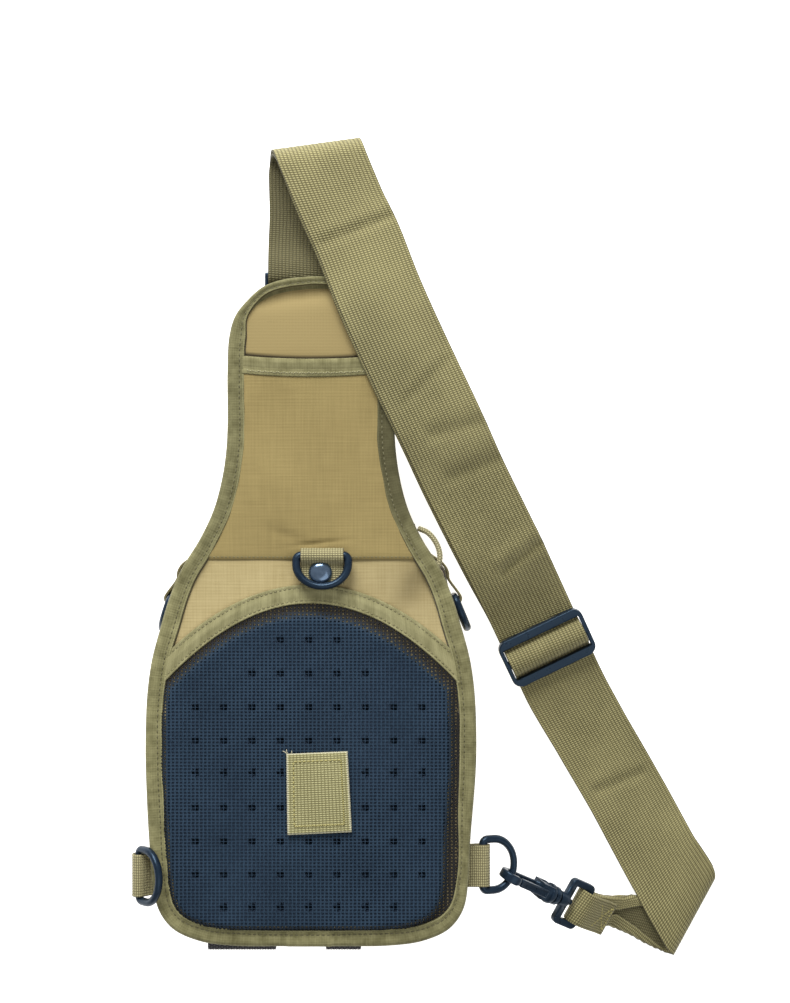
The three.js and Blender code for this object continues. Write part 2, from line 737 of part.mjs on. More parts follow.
// Strap slider: the strap runs under its two outer bars and over its middle bar.
const sliderLong = [Math.cos(rad(SLIDER.heading)), Math.sin(rad(SLIDER.heading)), 0];
const sliderDown = [
  Math.sin(rad(SLIDER.heading)) * Math.cos(rad(SLIDER.slope)),
  -Math.cos(rad(SLIDER.heading)) * Math.cos(rad(SLIDER.slope)),
  -Math.sin(rad(SLIDER.slope)),
];
const sliderUp = new THREE.Vector3(...sliderDown).cross(new THREE.Vector3(...sliderLong)).toArray();
const sliderHole = (sign) => {
  const [near, far] = [SLIDER_SIZE.middle / 2, SLIDER_SIZE.wide / 2 - SLIDER_SIZE.bar].map((s) => s * sign);
  const reach = SLIDER_SIZE.long / 2 - SLIDER_SIZE.side;
  return rectangle(-reach, Math.min(near, far), reach, Math.max(near, far), 1);
};
const [sliderX, sliderY] = [SLIDER_SIZE.long / 2, SLIDER_SIZE.wide / 2];
const sliderFrame = prism(rectangle(-sliderX, -sliderY, sliderX, sliderY, 6.5), SLIDER_SIZE.thick, [
  sliderHole(1),
  sliderHole(-1),
]);
const sliderBack = sliderDown.map((k) => -k);
node("strap_slider", placed(sliderFrame, SLIDER.at, sliderLong, sliderBack), COLOUR.plastic, pack, 0.35);

// The strap is a row of stations: a middle, the heading of a line across it, its length, and a thickness.
const station = (at, heading, long = STRAP.wide, thick = STRAP.thick) => ({ at, heading, long, thick });
const onHook = (x, z, long) => {
  const at = HOOK.at.map((k, i) => k + hookX[i] * x + hookZ[i] * z);
  return station(at, 90 + HOOK.heading, long, 3.2);
};
const onSlider = (s, n) =>
  station(SLIDER.at.map((k, i) => k + sliderDown[i] * s + sliderUp[i] * n), SLIDER.heading);
// Turns about a line across the strap; the fold points left of that line, or right for a negative radius.
// A strap that meets the line at a slant slides along it by skew on each side of the fold.
function turn(at, heading, radius, from, to, count, long, skew = 0) {
  const [x, y] = [Math.cos(rad(heading)), Math.sin(rad(heading))];
  return arc(0, 0, radius, from, to, count).map(([out, up], i) => {
    const slide = skew * (1 - (2 * i) / count);
    return station([at[0] - y * out + x * slide, at[1] + x * out + y * slide, at[2] + up], heading, long);
  });
}

const LOW_FOLD = { at: [229.3, 1.5, 7], heading: 61.5, long: 60.5, radius: 5, skew: -5 };
const TOP_FOLD = { at: [3.6, 456, 71.6], heading: 7.8, long: 51.6, outer: 10.5, inner: 8.3, skew: 3.5 };
const RUN_UP = [
  { at: [114, 227, 47], heading: 25.7 },
  { at: [90, 273.7, 64.5], heading: 25.4 },
  { at: [79.2, 296.5, 73.8], heading: 25 },
  { at: [71.2, 313, 79.2], heading: 24.6 },
  { at: [61.3, 333.5, 81.3], heading: 24 },
  { at: [41, 378, 81.6], heading: 23 },
  { at: [27.8, 411.4, 81.9], heading: 20 },
  { at: [17.4, 433.8, 82], heading: 14 },
];
const under = 2.15; // the doubled layer lies this far below the outer one
const eyeTurn = arc(EYE.far, 0, 5.1, 90, 270, 8).map(([x, z]) => onHook(x, z, 20.6));
const strapStations = [
  onHook(EYE.far + 15, 1, 20.6),
  onHook(EYE.far + 8, 3.4, 20.6),
  ...eyeTurn,
  onHook(EYE.far + 8, -4.4, 20.6),
  onHook(EYE.far + 15, -3.6, 22),
  station([183, 3, 11], 61, 23, 2.6),
  station([196, 0.6, 5.2], 61, 28, 2),
  station([211, -1.8, 2.7], 61, 42),
  ...turn(LOW_FOLD.at, LOW_FOLD.heading, -LOW_FOLD.radius, 90, -90, 8, LOW_FOLD.long, LOW_FOLD.skew),
  station([217.2, 32.5, 8], 46, 51),
  station([192.3, 78.4, 4.2], 33.5, 48.4),
  station([170.7, 115.5, 7.5], 29, 48.4),
  ...[
    [32, -3.4],
    [11, -3.3],
    [9, -2],
    [5, 3.8],
    [2, 5.6],
    [-2, 5.6],
    [-5, 3.8],
    [-9, -2],
    [-11, -3.3],
    [-30, -3.3],
  ].map(([s, n]) => onSlider(s, n)),
  ...RUN_UP.map(({ at, heading }) => station(at, heading)),
  ...turn(TOP_FOLD.at, TOP_FOLD.heading, TOP_FOLD.outer, 90, -90, 9, TOP_FOLD.long, TOP_FOLD.skew),
  station([-0.6, 430, 60.6], 2),
  station([RING.u, RING.high + 12, 60], 0),
  ...arc(RING.high, RING.z, 4, 270, 90, 8).map(([v, z]) => station([RING.u, v, z], 0)),
  station([RING.u, RING.high + 6, 67.4], 0),
  station([RING.u, RING.high + 16, 64.2], 0),
  station([-0.6, 430, 62.9], 2),
  ...turn(TOP_FOLD.at, TOP_FOLD.heading, TOP_FOLD.inner, -90, 90, 9, TOP_FOLD.long, -TOP_FOLD.skew),
  ...RUN_UP.toReversed().map(({ at: [u, v, z], heading }) => station([u, v, z - under], heading)),
  onSlider(-30, -3.3 - under),
  onSlider(-11, -3.3 - under),
  onSlider(-4, -3.6),
  ...arc(0, 0, 4.1, 270, 450, 8, 3.6).map(([s, n]) => onSlider(s, n)),
  onSlider(-2.4, 3.4),
];
const strapRings = strapStations.map(({ at, heading, long, thick }, i) => {
  const before = new THREE.Vector3(...strapStations[Math.max(i - 1, 0)].at);
  const after = new THREE.Vector3(...strapStations[Math.min(i + 1, strapStations.length - 1)].at);
  const side = new THREE.Vector3(Math.cos(rad(heading)), Math.sin(rad(heading)), 0);
  const up = after.sub(before).cross(side).normalize();
  const middle = new THREE.Vector3(...at);
  const corner = (s, t) => {
    const out = side.clone().multiplyScalar((s * long) / 2).addScaledVector(up, (t * thick) / 2);
    return out.add(middle).toArray();
  };
  return [corner(-1, -1), corner(1, -1), corner(1, 1), corner(-1, 1)];
});
node("strap", skin(strapRings), COLOUR.webbing);

export default root;
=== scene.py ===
"""A single-strap sling pack that lies on its front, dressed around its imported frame."""

import math

import bmesh
import bpy
import numpy as np
from mathutils import Matrix, Vector


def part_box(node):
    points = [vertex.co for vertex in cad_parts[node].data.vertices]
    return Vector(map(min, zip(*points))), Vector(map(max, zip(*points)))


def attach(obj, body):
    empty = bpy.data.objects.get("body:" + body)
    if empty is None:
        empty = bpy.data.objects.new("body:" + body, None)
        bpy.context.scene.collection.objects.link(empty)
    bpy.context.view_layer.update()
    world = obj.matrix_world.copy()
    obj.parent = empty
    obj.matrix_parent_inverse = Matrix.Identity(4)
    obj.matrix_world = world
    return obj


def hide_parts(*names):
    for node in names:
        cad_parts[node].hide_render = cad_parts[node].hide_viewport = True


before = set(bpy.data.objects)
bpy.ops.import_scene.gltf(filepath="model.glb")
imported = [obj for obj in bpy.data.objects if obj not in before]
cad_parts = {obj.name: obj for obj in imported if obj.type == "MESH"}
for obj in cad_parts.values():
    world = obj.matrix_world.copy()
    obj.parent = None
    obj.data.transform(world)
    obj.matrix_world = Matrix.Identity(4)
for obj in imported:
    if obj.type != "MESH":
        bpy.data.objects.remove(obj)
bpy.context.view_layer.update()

# Studio: a pale floor under soft, even light, seen straight from above.
# The photograph looks down on the middle of the pack and its strap.
scene = bpy.context.scene
scene.view_settings.view_transform = "Standard"
lens = bpy.data.cameras.new("camera")
lens.lens = 64.8
lens.sensor_width = 36
lens.clip_start = 0.01
camera = bpy.data.objects.new("camera", lens)
camera.location = (0.0491, 0.149, 1.13)
scene.collection.objects.link(camera)
scene.camera = camera


def new_finish(name, roughness, specular=0.5, sheen=0.0):
    """A material with its node tree and its shader."""
    material = bpy.data.materials.new(name)
    material.use_nodes = True
    shader = material.node_tree.nodes["Principled BSDF"]
    for label, value in (("Roughness", roughness), ("Specular IOR Level", specular), ("Sheen Weight", sheen)):
        shader.inputs[label].default_value = value
    return material, material.node_tree, shader


bpy.ops.object.select_all(action="DESELECT")
bpy.ops.mesh.primitive_plane_add(size=8, location=(0, 0, -0.0006))
floor = bpy.context.object
floor.name = "floor"
pale, tree, shader = new_finish("pale_floor", 0.9)
shader.inputs["Base Color"].default_value = (0.93, 0.93, 0.93, 1)
shader.inputs["Emission Color"].default_value = (1, 1, 1, 1)
shader.inputs["Emission Strength"].default_value = 0.75
floor.data.materials.append(pale)

sky = bpy.data.worlds.new("studio")
sky.use_nodes = True
sky.node_tree.nodes["Background"].inputs["Color"].default_value = (1, 1, 1, 1)
sky.node_tree.nodes["Background"].inputs["Strength"].default_value = 0.42
scene.world = sky
AIM = Vector((0.04, 0.1, 0.03))
for name, place, watts, size in (
    ("key_light", (-0.25, 1.35, 0.95), 37, 0.9),
    ("fill_light", (0.6, -0.6, 1.5), 6, 1.2),
):
    light = bpy.data.lights.new(name, "AREA")
    light.energy = watts
    light.size = size
    lamp = bpy.data.objects.new(name, light)
    lamp.location = place
    lamp.rotation_euler = (AIM - Vector(place)).to_track_quat("-Z", "Y").to_euler()
    scene.collection.objects.link(lamp)

# Front shell: the front and the lower gusset, sewn from coated Oxford cloth with a fine square weave.
# It lies on the ground, climbs towards the neck and swells out beside the neck's foot.
REST_V = 110.0  # height on the back panel, in millimetres, that lies over the origin
EDGE = (  # right half of the panel's outline, from the top of the neck to the base, in millimetres
    (0, 390.3), (15, 389.1), (28, 384.6), (37.5, 376.4), (44.4, 367.4), (47.9, 355), (48.9, 334), (48.8, 306),
    (49.6, 289), (52.2, 271.5), (57, 254), (65, 237), (76, 219), (83, 202), (88.4, 184), (92.9, 167),
    (95.7, 147), (96.8, 115), (96, 85), (94.6, 60), (92.6, 36), (89, 20), (80.6, 9), (65, 2), (45, -0.7),
    (20, -1), (0, -1),
)


def bell(x, width, power=2):
    """One at zero, falling away smoothly on both sides."""
    return np.exp(-((x / width) ** power))


def ease(x, start, span):
    """From zero to one over a span, with soft ends."""
    share = np.clip((x - start) / span, 0, 1)
    return share**2 * (3 - 2 * share)


def lengths(line):
    """Distance along a line at each of its points."""
    return np.concatenate([[0], np.cumsum(np.linalg.norm(np.diff(line, axis=0), axis=1))])


def smooth_line(points, step, loop=False):
    """A smooth curve through points, in even steps."""
    points = np.asarray(points, float)
    if loop:
        ends = np.vstack([points[-1], points, points[0], points[1]])
    else:
        ends = np.vstack([2 * points[0] - points[1], points, 2 * points[-1] - points[-2]])
    line = []
    for p0, p1, p2, p3 in zip(ends, ends[1:], ends[2:], ends[3:]):
        gaps = [max(np.linalg.norm(b - a), 1e-6) ** 0.5 for a, b in ((p0, p1), (p1, p2), (p2, p3))]
        knots = np.cumsum([0, *gaps])
        for t in np.linspace(knots[1], knots[2], 16, endpoint=False):
            a = [p + (q - p) * (t - k) / gap for p, q, k, gap in zip((p0, p1, p2), (p1, p2, p3), knots, gaps)]
            b = a[0] + (a[1] - a[0]) * (t - knots[0]) / (knots[2] - knots[0])
            c = a[1] + (a[2] - a[1]) * (t - knots[1]) / (knots[3] - knots[1])
            line.append(b + (c - b) * (t - knots[1]) / (knots[2] - knots[1]))
    line.append(points[0] if loop else points[-1])
    line = np.array(line)
    far = lengths(line)
    count = max(int(round(far[-1] / step)), 2)
    at = np.linspace(0, far[-1], count + 1)[: count if loop else count + 1]
    return np.column_stack([np.interp(at, far, line[:, k]) for k in range(points.shape[1])])


def inward_of(ring):
    """The way inwards at each point of a ring that runs clockwise."""
    along = np.roll(ring, -1, 0) - np.roll(ring, 1, 0)
    along /= np.linalg.norm(along, axis=1)[:, None]
    return np.column_stack([along[:, 1], -along[:, 0]])


class Outline:
    """The back panel's outline as a ring from the top of the neck, down the right side and up the left."""

    def __init__(self, step):
        table = np.array(EDGE, float)
        left = table[1:-1][::-1] * (-1, 1)
        self.ring = smooth_line(np.vstack([table, left]), step, loop=True)
        high = ease(self.ring[:, 1], 362, 22)
        self.ring[:, 1] += high * 0.045 * np.clip(self.ring[:, 0] + 8, 0, 40)
        self.ring[:, 0] -= np.where(self.ring[:, 0] > 50, 1.5 * bell(self.ring[:, 1] - 62, 30), 0)
        self.inward = inward_of(self.ring)
        self.u, self.v = self.ring.T
        self.far = np.arange(len(self.ring) + 1) * step
        self.run = self.far[:-1]
        self.flare = bell(self.v - 217, 10)
        self.tuck = 5 * high
        self.wall = 6 + self.tuck - 6.5 * self.flare
        self.slim = np.where(self.u > 50, 3.4 * bell(self.v - 50, 34), 0)

    def inset(self, distance, z):
        flat = self.ring + self.inward * np.broadcast_to(distance, len(self.ring))[:, None]
        return np.column_stack([flat, np.broadcast_to(z, len(self.ring))])


def half_at(v, distance):
    """Half the panel's width at a height, inside a line that follows the outline at a distance."""
    line = coarse.inset(distance, 0)
    right = line[(coarse.u >= 0) & (coarse.v > 0.2)]
    order = np.argsort(right[:, 1])
    return np.interp(v, right[order, 1], right[order, 0])


def in_frame(points):
    """Millimetres on the bag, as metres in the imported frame."""
    return (np.asarray(points, float) - (0, REST_V, 0)) / 1000


def new_piece(name, points, faces):
    """A smooth mesh through points on the bag."""
    mesh = bpy.data.meshes.new(name)
    mesh.from_pydata(in_frame(points).tolist(), [], faces)
    mesh.polygons.foreach_set("use_smooth", [True] * len(faces))
    piece = bpy.data.objects.new(name, mesh)
    scene.collection.objects.link(piece)
    return piece


def cloth(name, grid, xs, ys, round_rows=False, round_cols=False, flip=False):
    """A skin over a grid of points; its own map has xs along the rows and ys along the columns."""
    rows, cols = grid.shape[:2]
    quads = [(r, c) for r in range(rows - (not round_rows)) for c in range(cols - (not round_cols))]
    turn = ((0, 0), (1, 0), (1, 1), (0, 1)) if flip else ((0, 0), (0, 1), (1, 1), (1, 0))
    faces = [[((r + a) % rows) * cols + (c + b) % cols for a, b in turn] for r, c in quads]
    piece = new_piece(name, grid.reshape(-1, 3), faces)
    xs, ys = np.broadcast_arrays(np.atleast_2d(xs), np.reshape(ys, (len(ys), -1)))
    flat = [(xs[r + a, c + b], ys[r + a, c + b]) for r, c in quads for a, b in turn]
    layer = piece.data.uv_layers.new(name="cloth")
    layer.data.foreach_set("uv", (np.array(flat, np.float32) / 1000).ravel())
    return piece


def mend(piece):
    """Merges doubled points and turns the faces outwards."""
    shape = bmesh.new()
    shape.from_mesh(piece.data)
    bmesh.ops.remove_doubles(shape, verts=shape.verts, dist=2e-5)
    bmesh.ops.dissolve_degenerate(shape, edges=shape.edges, dist=1e-6)
    bmesh.ops.recalc_face_normals(shape, faces=shape.faces)
    shape.to_mesh(piece.data)
    shape.free()
    return piece


def fit(piece, body, slot, material, *nodes):
    """Dresses a piece, hangs it on its body and lets it stand for its nodes."""
    piece.data.materials.clear()
    piece.data.materials.append(material)
    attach(piece, body)
    if nodes:
        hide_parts(*nodes)
    return piece


class Value:
    """What a shader node gives out; arithmetic with it adds the nodes that work it out."""

    def __init__(self, socket):
        self.socket = socket
        self.tree = socket.id_data

    def calc(self, operation, *others):
        step = self.tree.nodes.new("ShaderNodeMath")
        step.operation = operation
        for entry, value in zip(step.inputs, (self, *others)):
            put(entry, value)
        return Value(step.outputs[0])

    def __add__(self, other):
        return self.calc("ADD", other)

    def __sub__(self, other):
        return self.calc("SUBTRACT", other)

    def __mul__(self, other):
        return self.calc("MULTIPLY", other)

    def __truediv__(self, other):
        return self.calc("DIVIDE", other)

    def __lt__(self, other):
        return self.calc("LESS_THAN", other)

    def __gt__(self, other):
        return self.calc("GREATER_THAN", other)

    def __abs__(self):
        return self.calc("ABSOLUTE")


def put(entry, value):
    """Gives a node's entry a number, or what another node gives out."""
    if isinstance(value, Value):
        value.tree.links.new(value.socket, entry)
    else:
        entry.default_value = value


def mixed(share, a, b):
    """A colour between two colours."""
    step = share.tree.nodes.new("ShaderNodeMix")
    step.data_type = "RGBA"
    for number, value in ((0, share), (6, a), (7, b)):
        put(step.inputs[number], (*value, 1) if isinstance(value, tuple) else value)
    return Value(step.outputs[2])


def noise(where, scale, detail=2.0):
    """Cloudy noise."""
    step = where.tree.nodes.new("ShaderNodeTexNoise")
    for label, value in (("Vector", where), ("Scale", scale), ("Detail", detail)):
        put(step.inputs[label], value)
    return Value(step.outputs["Fac"])


def axes(where):
    """The x and the y of a place."""
    step = where.tree.nodes.new("ShaderNodeSeparateXYZ")
    put(step.inputs[0], where)
    return Value(step.outputs["X"]), Value(step.outputs["Y"])


def own_map(tree):
    """The place on the cloth's own map."""
    step = tree.nodes.new("ShaderNodeUVMap")
    step.uv_map = "cloth"
    return Value(step.outputs["UV"])


def own_place(tree):
    """The place in the piece's own axes."""
    return Value(tree.nodes.new("ShaderNodeTexCoord").outputs["Object"])


def painted(tree, label):
    """A value painted on the points of a piece; nothing where none is painted."""
    step = tree.nodes.new("ShaderNodeAttribute")
    step.attribute_name = label
    return Value(step.outputs["Fac"])


def bumped(shader, height, depth, strength):
    """Lets a height show in the light."""
    step = height.tree.nodes.new("ShaderNodeBump")
    for label, value in (("Strength", strength), ("Distance", depth), ("Height", height)):
        put(step.inputs[label], value)
    put(shader.inputs["Normal"], Value(step.outputs["Normal"]))


def new_group(name, inputs, outputs):
    """An empty group of shader nodes that reads a place and some numbers."""
    tree = bpy.data.node_groups.new(name, "ShaderNodeTree")
    for label in ("Vector", *inputs):
        kind = "NodeSocketVector" if label == "Vector" else "NodeSocketFloat"
        tree.interface.new_socket(label, in_out="INPUT", socket_type=kind)
    for label in outputs:
        tree.interface.new_socket(label, in_out="OUTPUT", socket_type="NodeSocketFloat")
    given = {entry.name: Value(entry) for entry in tree.nodes.new("NodeGroupInput").outputs}
    return tree, given, tree.nodes.new("NodeGroupOutput").inputs


def use_group(group, where, **values):
    """Places a group in a material with its own values."""
    step = where.tree.nodes.new("ShaderNodeGroup")
    step.node_tree = group
    for label, value in (("Vector", where), *values.items()):
        put(step.inputs[label], value)
    return {entry.name: Value(entry) for entry in step.outputs}


# Threads that cross over and under: Height is the relief, Slub the unevenness of single threads.
square_weave, given, made = new_group("square_weave", ("Pitch",), ("Height", "Slub"))
waves = [(axis / given["Pitch"] * math.pi).calc("SINE") for axis in axes(given["Vector"])]
put(made["Height"], (waves[0] + waves[1]) * 0.25 + 0.5)
slubs = []
for stretch in ((900, 40, 1), (40, 900, 1)):
    lie = square_weave.nodes.new("ShaderNodeMapping")
    put(lie.inputs["Scale"], stretch)
    put(lie.inputs["Vector"], given["Vector"])
    slubs.append(noise(Value(lie.outputs["Vector"]), 1))
put(made["Slub"], (slubs[0] + slubs[1]) * 0.5)

# Slow change of tone over a piece, from handling and fading.
worn_tone, given, made = new_group("worn_tone", ("Scale",), ("Tone",))
put(made["Tone"], noise(given["Vector"], given["Scale"], 4))


def toned(where, scale):
    return use_group(worn_tone, where, Scale=scale)["Tone"]


def oxford(name, light, dark, fade=0.0, mouth=None):
    """Coated Oxford cloth that may darken up the neck; with a mouth, a painted shadow line there and painted
    shade.
    """
    material, tree, shader = new_finish(name, 0.82, 0.25, 0.12)
    where = own_map(tree)
    x, y = axes(where)
    weave = use_group(square_weave, where, Pitch=0.0009)
    climb = tree.nodes.new("ShaderNodeMapRange")
    put(climb.inputs["Value"], y)
    for label, value in (("From Min", 0.2), ("From Max", 0.34), ("To Min", 0.45), ("To Max", 0.45 + fade)):
        put(climb.inputs[label], value)
    share = weave["Slub"] * 0.9 + 0.12 + weave["Height"] * 0.1 + toned(where, 24) * 0.7
    colour = mixed(share - Value(climb.outputs["Result"]), dark, light)
    if mouth:
        # Painted shadow: a dark line along the pocket's mouth, then painted shade where the value shade is
        # painted on.
        above = y - abs(x).calc("POWER", 2.0) * 1.4 - mouth
        inside = (abs(above) / -0.0022 + 1.0).calc("MAXIMUM", 0.0)
        colour = mixed(inside, colour, (0.012, 0.009, 0.003))
        colour = mixed(painted(tree, "shade"), colour, (0.07, 0.052, 0.018))
    put(shader.inputs["Base Color"], colour)
    bumped(shader, weave["Height"] + weave["Slub"], 0.0002, 0.35)
    return material


tan_cloth = oxford("tan_cloth", (0.5, 0.41, 0.215), (0.3, 0.232, 0.1), 0.75)

SHELL_LOW, SHELL_HIGH = 0.3, 51.7
coarse = Outline(2.5)
wall_in, deep_in = coarse.wall, 14 + coarse.tuck - 4 * coarse.flare
front_z = 44 * np.clip((coarse.v - 215) / 172, 0, 1) ** 1.7
tall = SHELL_HIGH - front_z
sag = 0.5 * np.sin(coarse.run / 23) + 0.35 * np.sin(coarse.run / 9.1 + 1)
shell_rows = []
lowest = coarse.inset(deep_in, front_z + SHELL_LOW)
for share in np.linspace(0, 1, 14)[:-1]:
    row = lowest.copy()
    row[:, 0] *= share
    row[:, 2] += 0.25 * np.sin(row[:, 0] / 11) * np.sin(row[:, 1] / 17) * share * (1 - share) * 2
    shell_rows.append(row)
for angle in np.linspace(0, math.pi / 2, 9):
    inwards = wall_in + (deep_in - wall_in) * (1 - math.sin(angle))
    shell_rows.append(coarse.inset(inwards, front_z + SHELL_LOW + 0.25 * tall * (1 - math.cos(angle))))
for share in np.linspace(0, 1, 12)[1:]:
    bulge = (0.9 + sag) * math.sin(math.pi * share)
    shell_rows.append(coarse.inset(wall_in - bulge, front_z + tall * (0.25 + 0.75 * share)))
shell_rows.append(coarse.inset(wall_in + 1.6, 51.5))
grid = np.array(shell_rows)
down = np.concatenate([[0], np.cumsum(np.linalg.norm(np.diff(grid, axis=0), axis=2).mean(1))])
front = cloth("front_shell_cloth", grid, coarse.far, down, round_cols=True)
flat_front = front.data.uv_layers["cloth"].data
for face in front.data.polygons:
    if abs(face.normal.z) > 0.7:
        for corner in face.loop_indices:
            flat_front[corner].uv = front.data.vertices[front.data.loops[corner].vertex_index].co.xy
fit(mend(front), "bag", "tan_fabric", tan_cloth, "front_shell")

# Zip: two dark tapes and a nylon coil that run round the bag above the shell, from side to side over the
# neck. The coil is a row of small turns, each a little proud of the tapes.
ZIP_SECTION = (  # inwards, height, and whether it is part of the coil
    (1.7, 52.0, 0), (0.0, 52.0, 0), (-0.1, 54.0, 0), (-0.5, 54.4, 1), (-1.0, 55.2, 1), (-1.0, 56.8, 1),
    (-0.5, 57.6, 1), (-0.1, 58.0, 0), (0.0, 60.1, 0), (1.7, 60.1, 0),
)
ZIP_ENDS_V = 62
fine = Outline(1.0)
tooth = np.where(np.arange(len(fine.ring)) % 2 == 0, 0.35, 0.0)
keep = fine.v > ZIP_ENDS_V
first = int(np.argmin(keep)) - 1
around = np.concatenate([np.arange(len(keep) - first, len(keep)), np.arange(first + 1)])
grid = np.array([fine.inset(fine.wall + out - coil * tooth, z)[around] for out, z, coil in ZIP_SECTION])
zip_tapes = cloth("zip_tapes", grid, range(len(around)), 2 * np.arange(len(ZIP_SECTION)), flip=True)
zip_nylon, tree, shader = new_finish("zip_nylon", 0.55, sheen=0.1)
weave = use_group(square_weave, own_map(tree), Pitch=0.0007)
put(shader.inputs["Base Color"], mixed(weave["Slub"], (0.018, 0.012, 0.008), (0.06, 0.042, 0.028)))
bumped(shader, weave["Height"], 0.0002, 0.6)
fit(mend(zip_tapes), "bag", "zip", zip_nylon, "zip_band")

# Back gusset and base gusset: strips of the same cloth between the zip and the back panel.
# The seam allowance under the binding puckers the strip a little along its whole length.
pucker = 0.35 * np.sin(coarse.run / 4.7) + 0.25 * np.sin(coarse.run / 2.9 + 2)
rows = []
for share in np.linspace(0, 1, 8):
    inwards = wall_in + (5 + coarse.tuck - wall_in) * share - (0.7 + pucker) * math.sin(math.pi * share)
    rows.append(coarse.inset(inwards, 60.2 + 9.8 * share))
back_strip = cloth("back_gusset_cloth", np.array(rows), coarse.far, 1.4 * np.arange(8), round_cols=True)
fit(mend(back_strip), "bag", "tan_fabric", tan_cloth, "back_gusset")
low = np.flatnonzero(coarse.v <= ZIP_ENDS_V + 0.5)
rows = []
for share in np.linspace(0, 1, 7):
    rows.append(coarse.inset(wall_in - 0.6 * math.sin(math.pi * share), 51.8 + 8.4 * share)[low])
base_strip = cloth(
    "base_gusset_cloth", np.array(rows), 2.5 * np.arange(len(low)), 1.4 * np.arange(7), flip=True
)
fit(mend(base_strip), "bag", "tan_fabric", tan_cloth, "base_gusset")

# Back panel: the same cloth over a thin stiffener, cut to the bell shape and held all round by the binding.
# It dips under the top of the neck and right of the neck's foot, where a short soft fold crosses it.
PANEL_TOP, PANEL_INSET = 75.0, 2.2
FOLD_U, FOLD_V, FOLD_LEAN = 60, 207.5, 0.435


def settle(piece, modifier):
    """Applies a modifier for good."""
    bpy.ops.object.select_all(action="DESELECT")
    piece.select_set(True)
    bpy.context.view_layer.objects.active = piece
    bpy.ops.object.modifier_apply(modifier=modifier.name)


def thicken(piece, thick, offset=0.0):
    """Gives a sheet its thickness."""
    wall = piece.modifiers.new("wall", "SOLIDIFY")
    wall.thickness = thick / 1000
    wall.offset = offset
    wall.use_even_offset = False
    settle(piece, wall)
    return piece


def paint(piece, label, values):
    """Paints a value on each point; "shade" is darkness that the even light of the studio leaves out."""
    layer = piece.data.attributes.new(label, "FLOAT", "POINT")
    layer.data.foreach_set("value", np.ravel(values).astype(np.float32))


ups = 3.2 + (387.4 - 3.2) * (0.5 - 0.5 * np.cos(np.pi * np.linspace(0, 1, 170)))
acrosses = np.linspace(-1, 1, 90)
panel_half = half_at(ups, PANEL_INSET)
panel_u = panel_half[:, None] * acrosses
panel_v = np.repeat(ups[:, None], 90, 1)
panel_z = PANEL_TOP - 0.5 - 2.7 * bell(panel_v - 382 - 0.1 * panel_u, 6.5) * (1 - acrosses**4)
panel_z = panel_z - 2.6 * np.clip((panel_u - 34) / 36, 0, 1) ** 2 * bell(panel_v - 212, 15)
panel_z = panel_z + 0.22 * np.sin(panel_u / 13 + panel_v / 31) * np.sin(panel_v / 19)
off_fold = 0.917 * (panel_u - FOLD_U - FOLD_LEAN * (panel_v - FOLD_V))
fold_length = bell(panel_v - FOLD_V, 13)
panel_z = panel_z - 2.2 * bell(off_fold, 6) * fold_length
panel = cloth("back_panel_cloth", np.dstack([panel_u, panel_v, panel_z]), panel_u, panel_v)
# Painted shade: darker towards the lower right of the panel and along the soft fold.
lower_right_shade = 0.28 * np.clip((panel_u - 12) / 45, 0, 1) * bell(panel_v - 208, 24)
paint(panel, "shade", lower_right_shade + 0.26 * bell(off_fold - 1.5, 6) * fold_length)
thicken(panel, 1.2, -1.0)
# The panel's cloth carries a painted shadow line along the pocket's mouth.
panel_cloth = oxford("panel_cloth", (0.53, 0.44, 0.23), (0.28, 0.216, 0.09), 0.9, 0.3428)
fit(panel, "bag", "tan_fabric", panel_cloth, "back_panel")

# Slip pocket: a second layer of the cloth over the neck, sewn across its foot and into the binding at its
# sides. Its mouth sags and stands a little off the panel; wrinkles run up from the foot.
POCKET_LOW, POCKET_HIGH, POCKET_INSET = 225.0, 343.0, 8.6
POCKET_TALL = POCKET_HIGH - POCKET_LOW


def pocket_at(share, step):
    """A point of the pocket's middle surface, by its place across and its share of the way up."""
    v = POCKET_LOW + (POCKET_TALL - 2.2 * (1 - share**2)) * step
    u = share * half_at(v, POCKET_INSET)
    lift = 4.4 * np.clip(1 - share**2, 0, 1) ** 2 * np.clip((v - 270) / 73, 0, 1) ** 2
    fold = 0.35 * np.sin(u / 7 + v / 40) * np.sin(math.pi * step) + 0.3 * np.sin(u / 15 - v / 12) * (1 - step)
    crease = -1.3 * bell(v - 234.6 - 0.11 * (u - 4), 1.1) * bell(u - 4, 15)
    crease = crease - 0.8 * bell(v - 239 + 0.35 * (u + 14), 3.5) * bell(u + 14, 12)
    seam = -0.85 * bell(v - POCKET_LOW, 1.5)
    at_side = np.abs(share) ** 8
    rest = 75.95 - 0.75 * at_side - 0.6 * bell(v - POCKET_LOW, 26) * (1 - at_side)
    return np.dstack([u, v, rest + lift + (fold + 0.35) * (1 - share**4) + crease + seam])


def pocket_row(shares, step):
    return pocket_at(shares[None, :], np.full((1, len(shares)), step))[0]


grid = pocket_at(*np.meshgrid(np.linspace(-1, 1, 70), np.linspace(0, 1, 90)))
pocket = cloth("slip_pocket_cloth", grid, grid[..., 0], grid[..., 1])
thicken(pocket, 0.9)
neck_cloth = oxford("neck_cloth", (0.325, 0.253, 0.1), (0.18, 0.136, 0.048))
fit(pocket, "bag", "tan_fabric", neck_cloth, "slip_pocket")
over_neck = (ups > POCKET_LOW) & (ups < POCKET_HIGH)
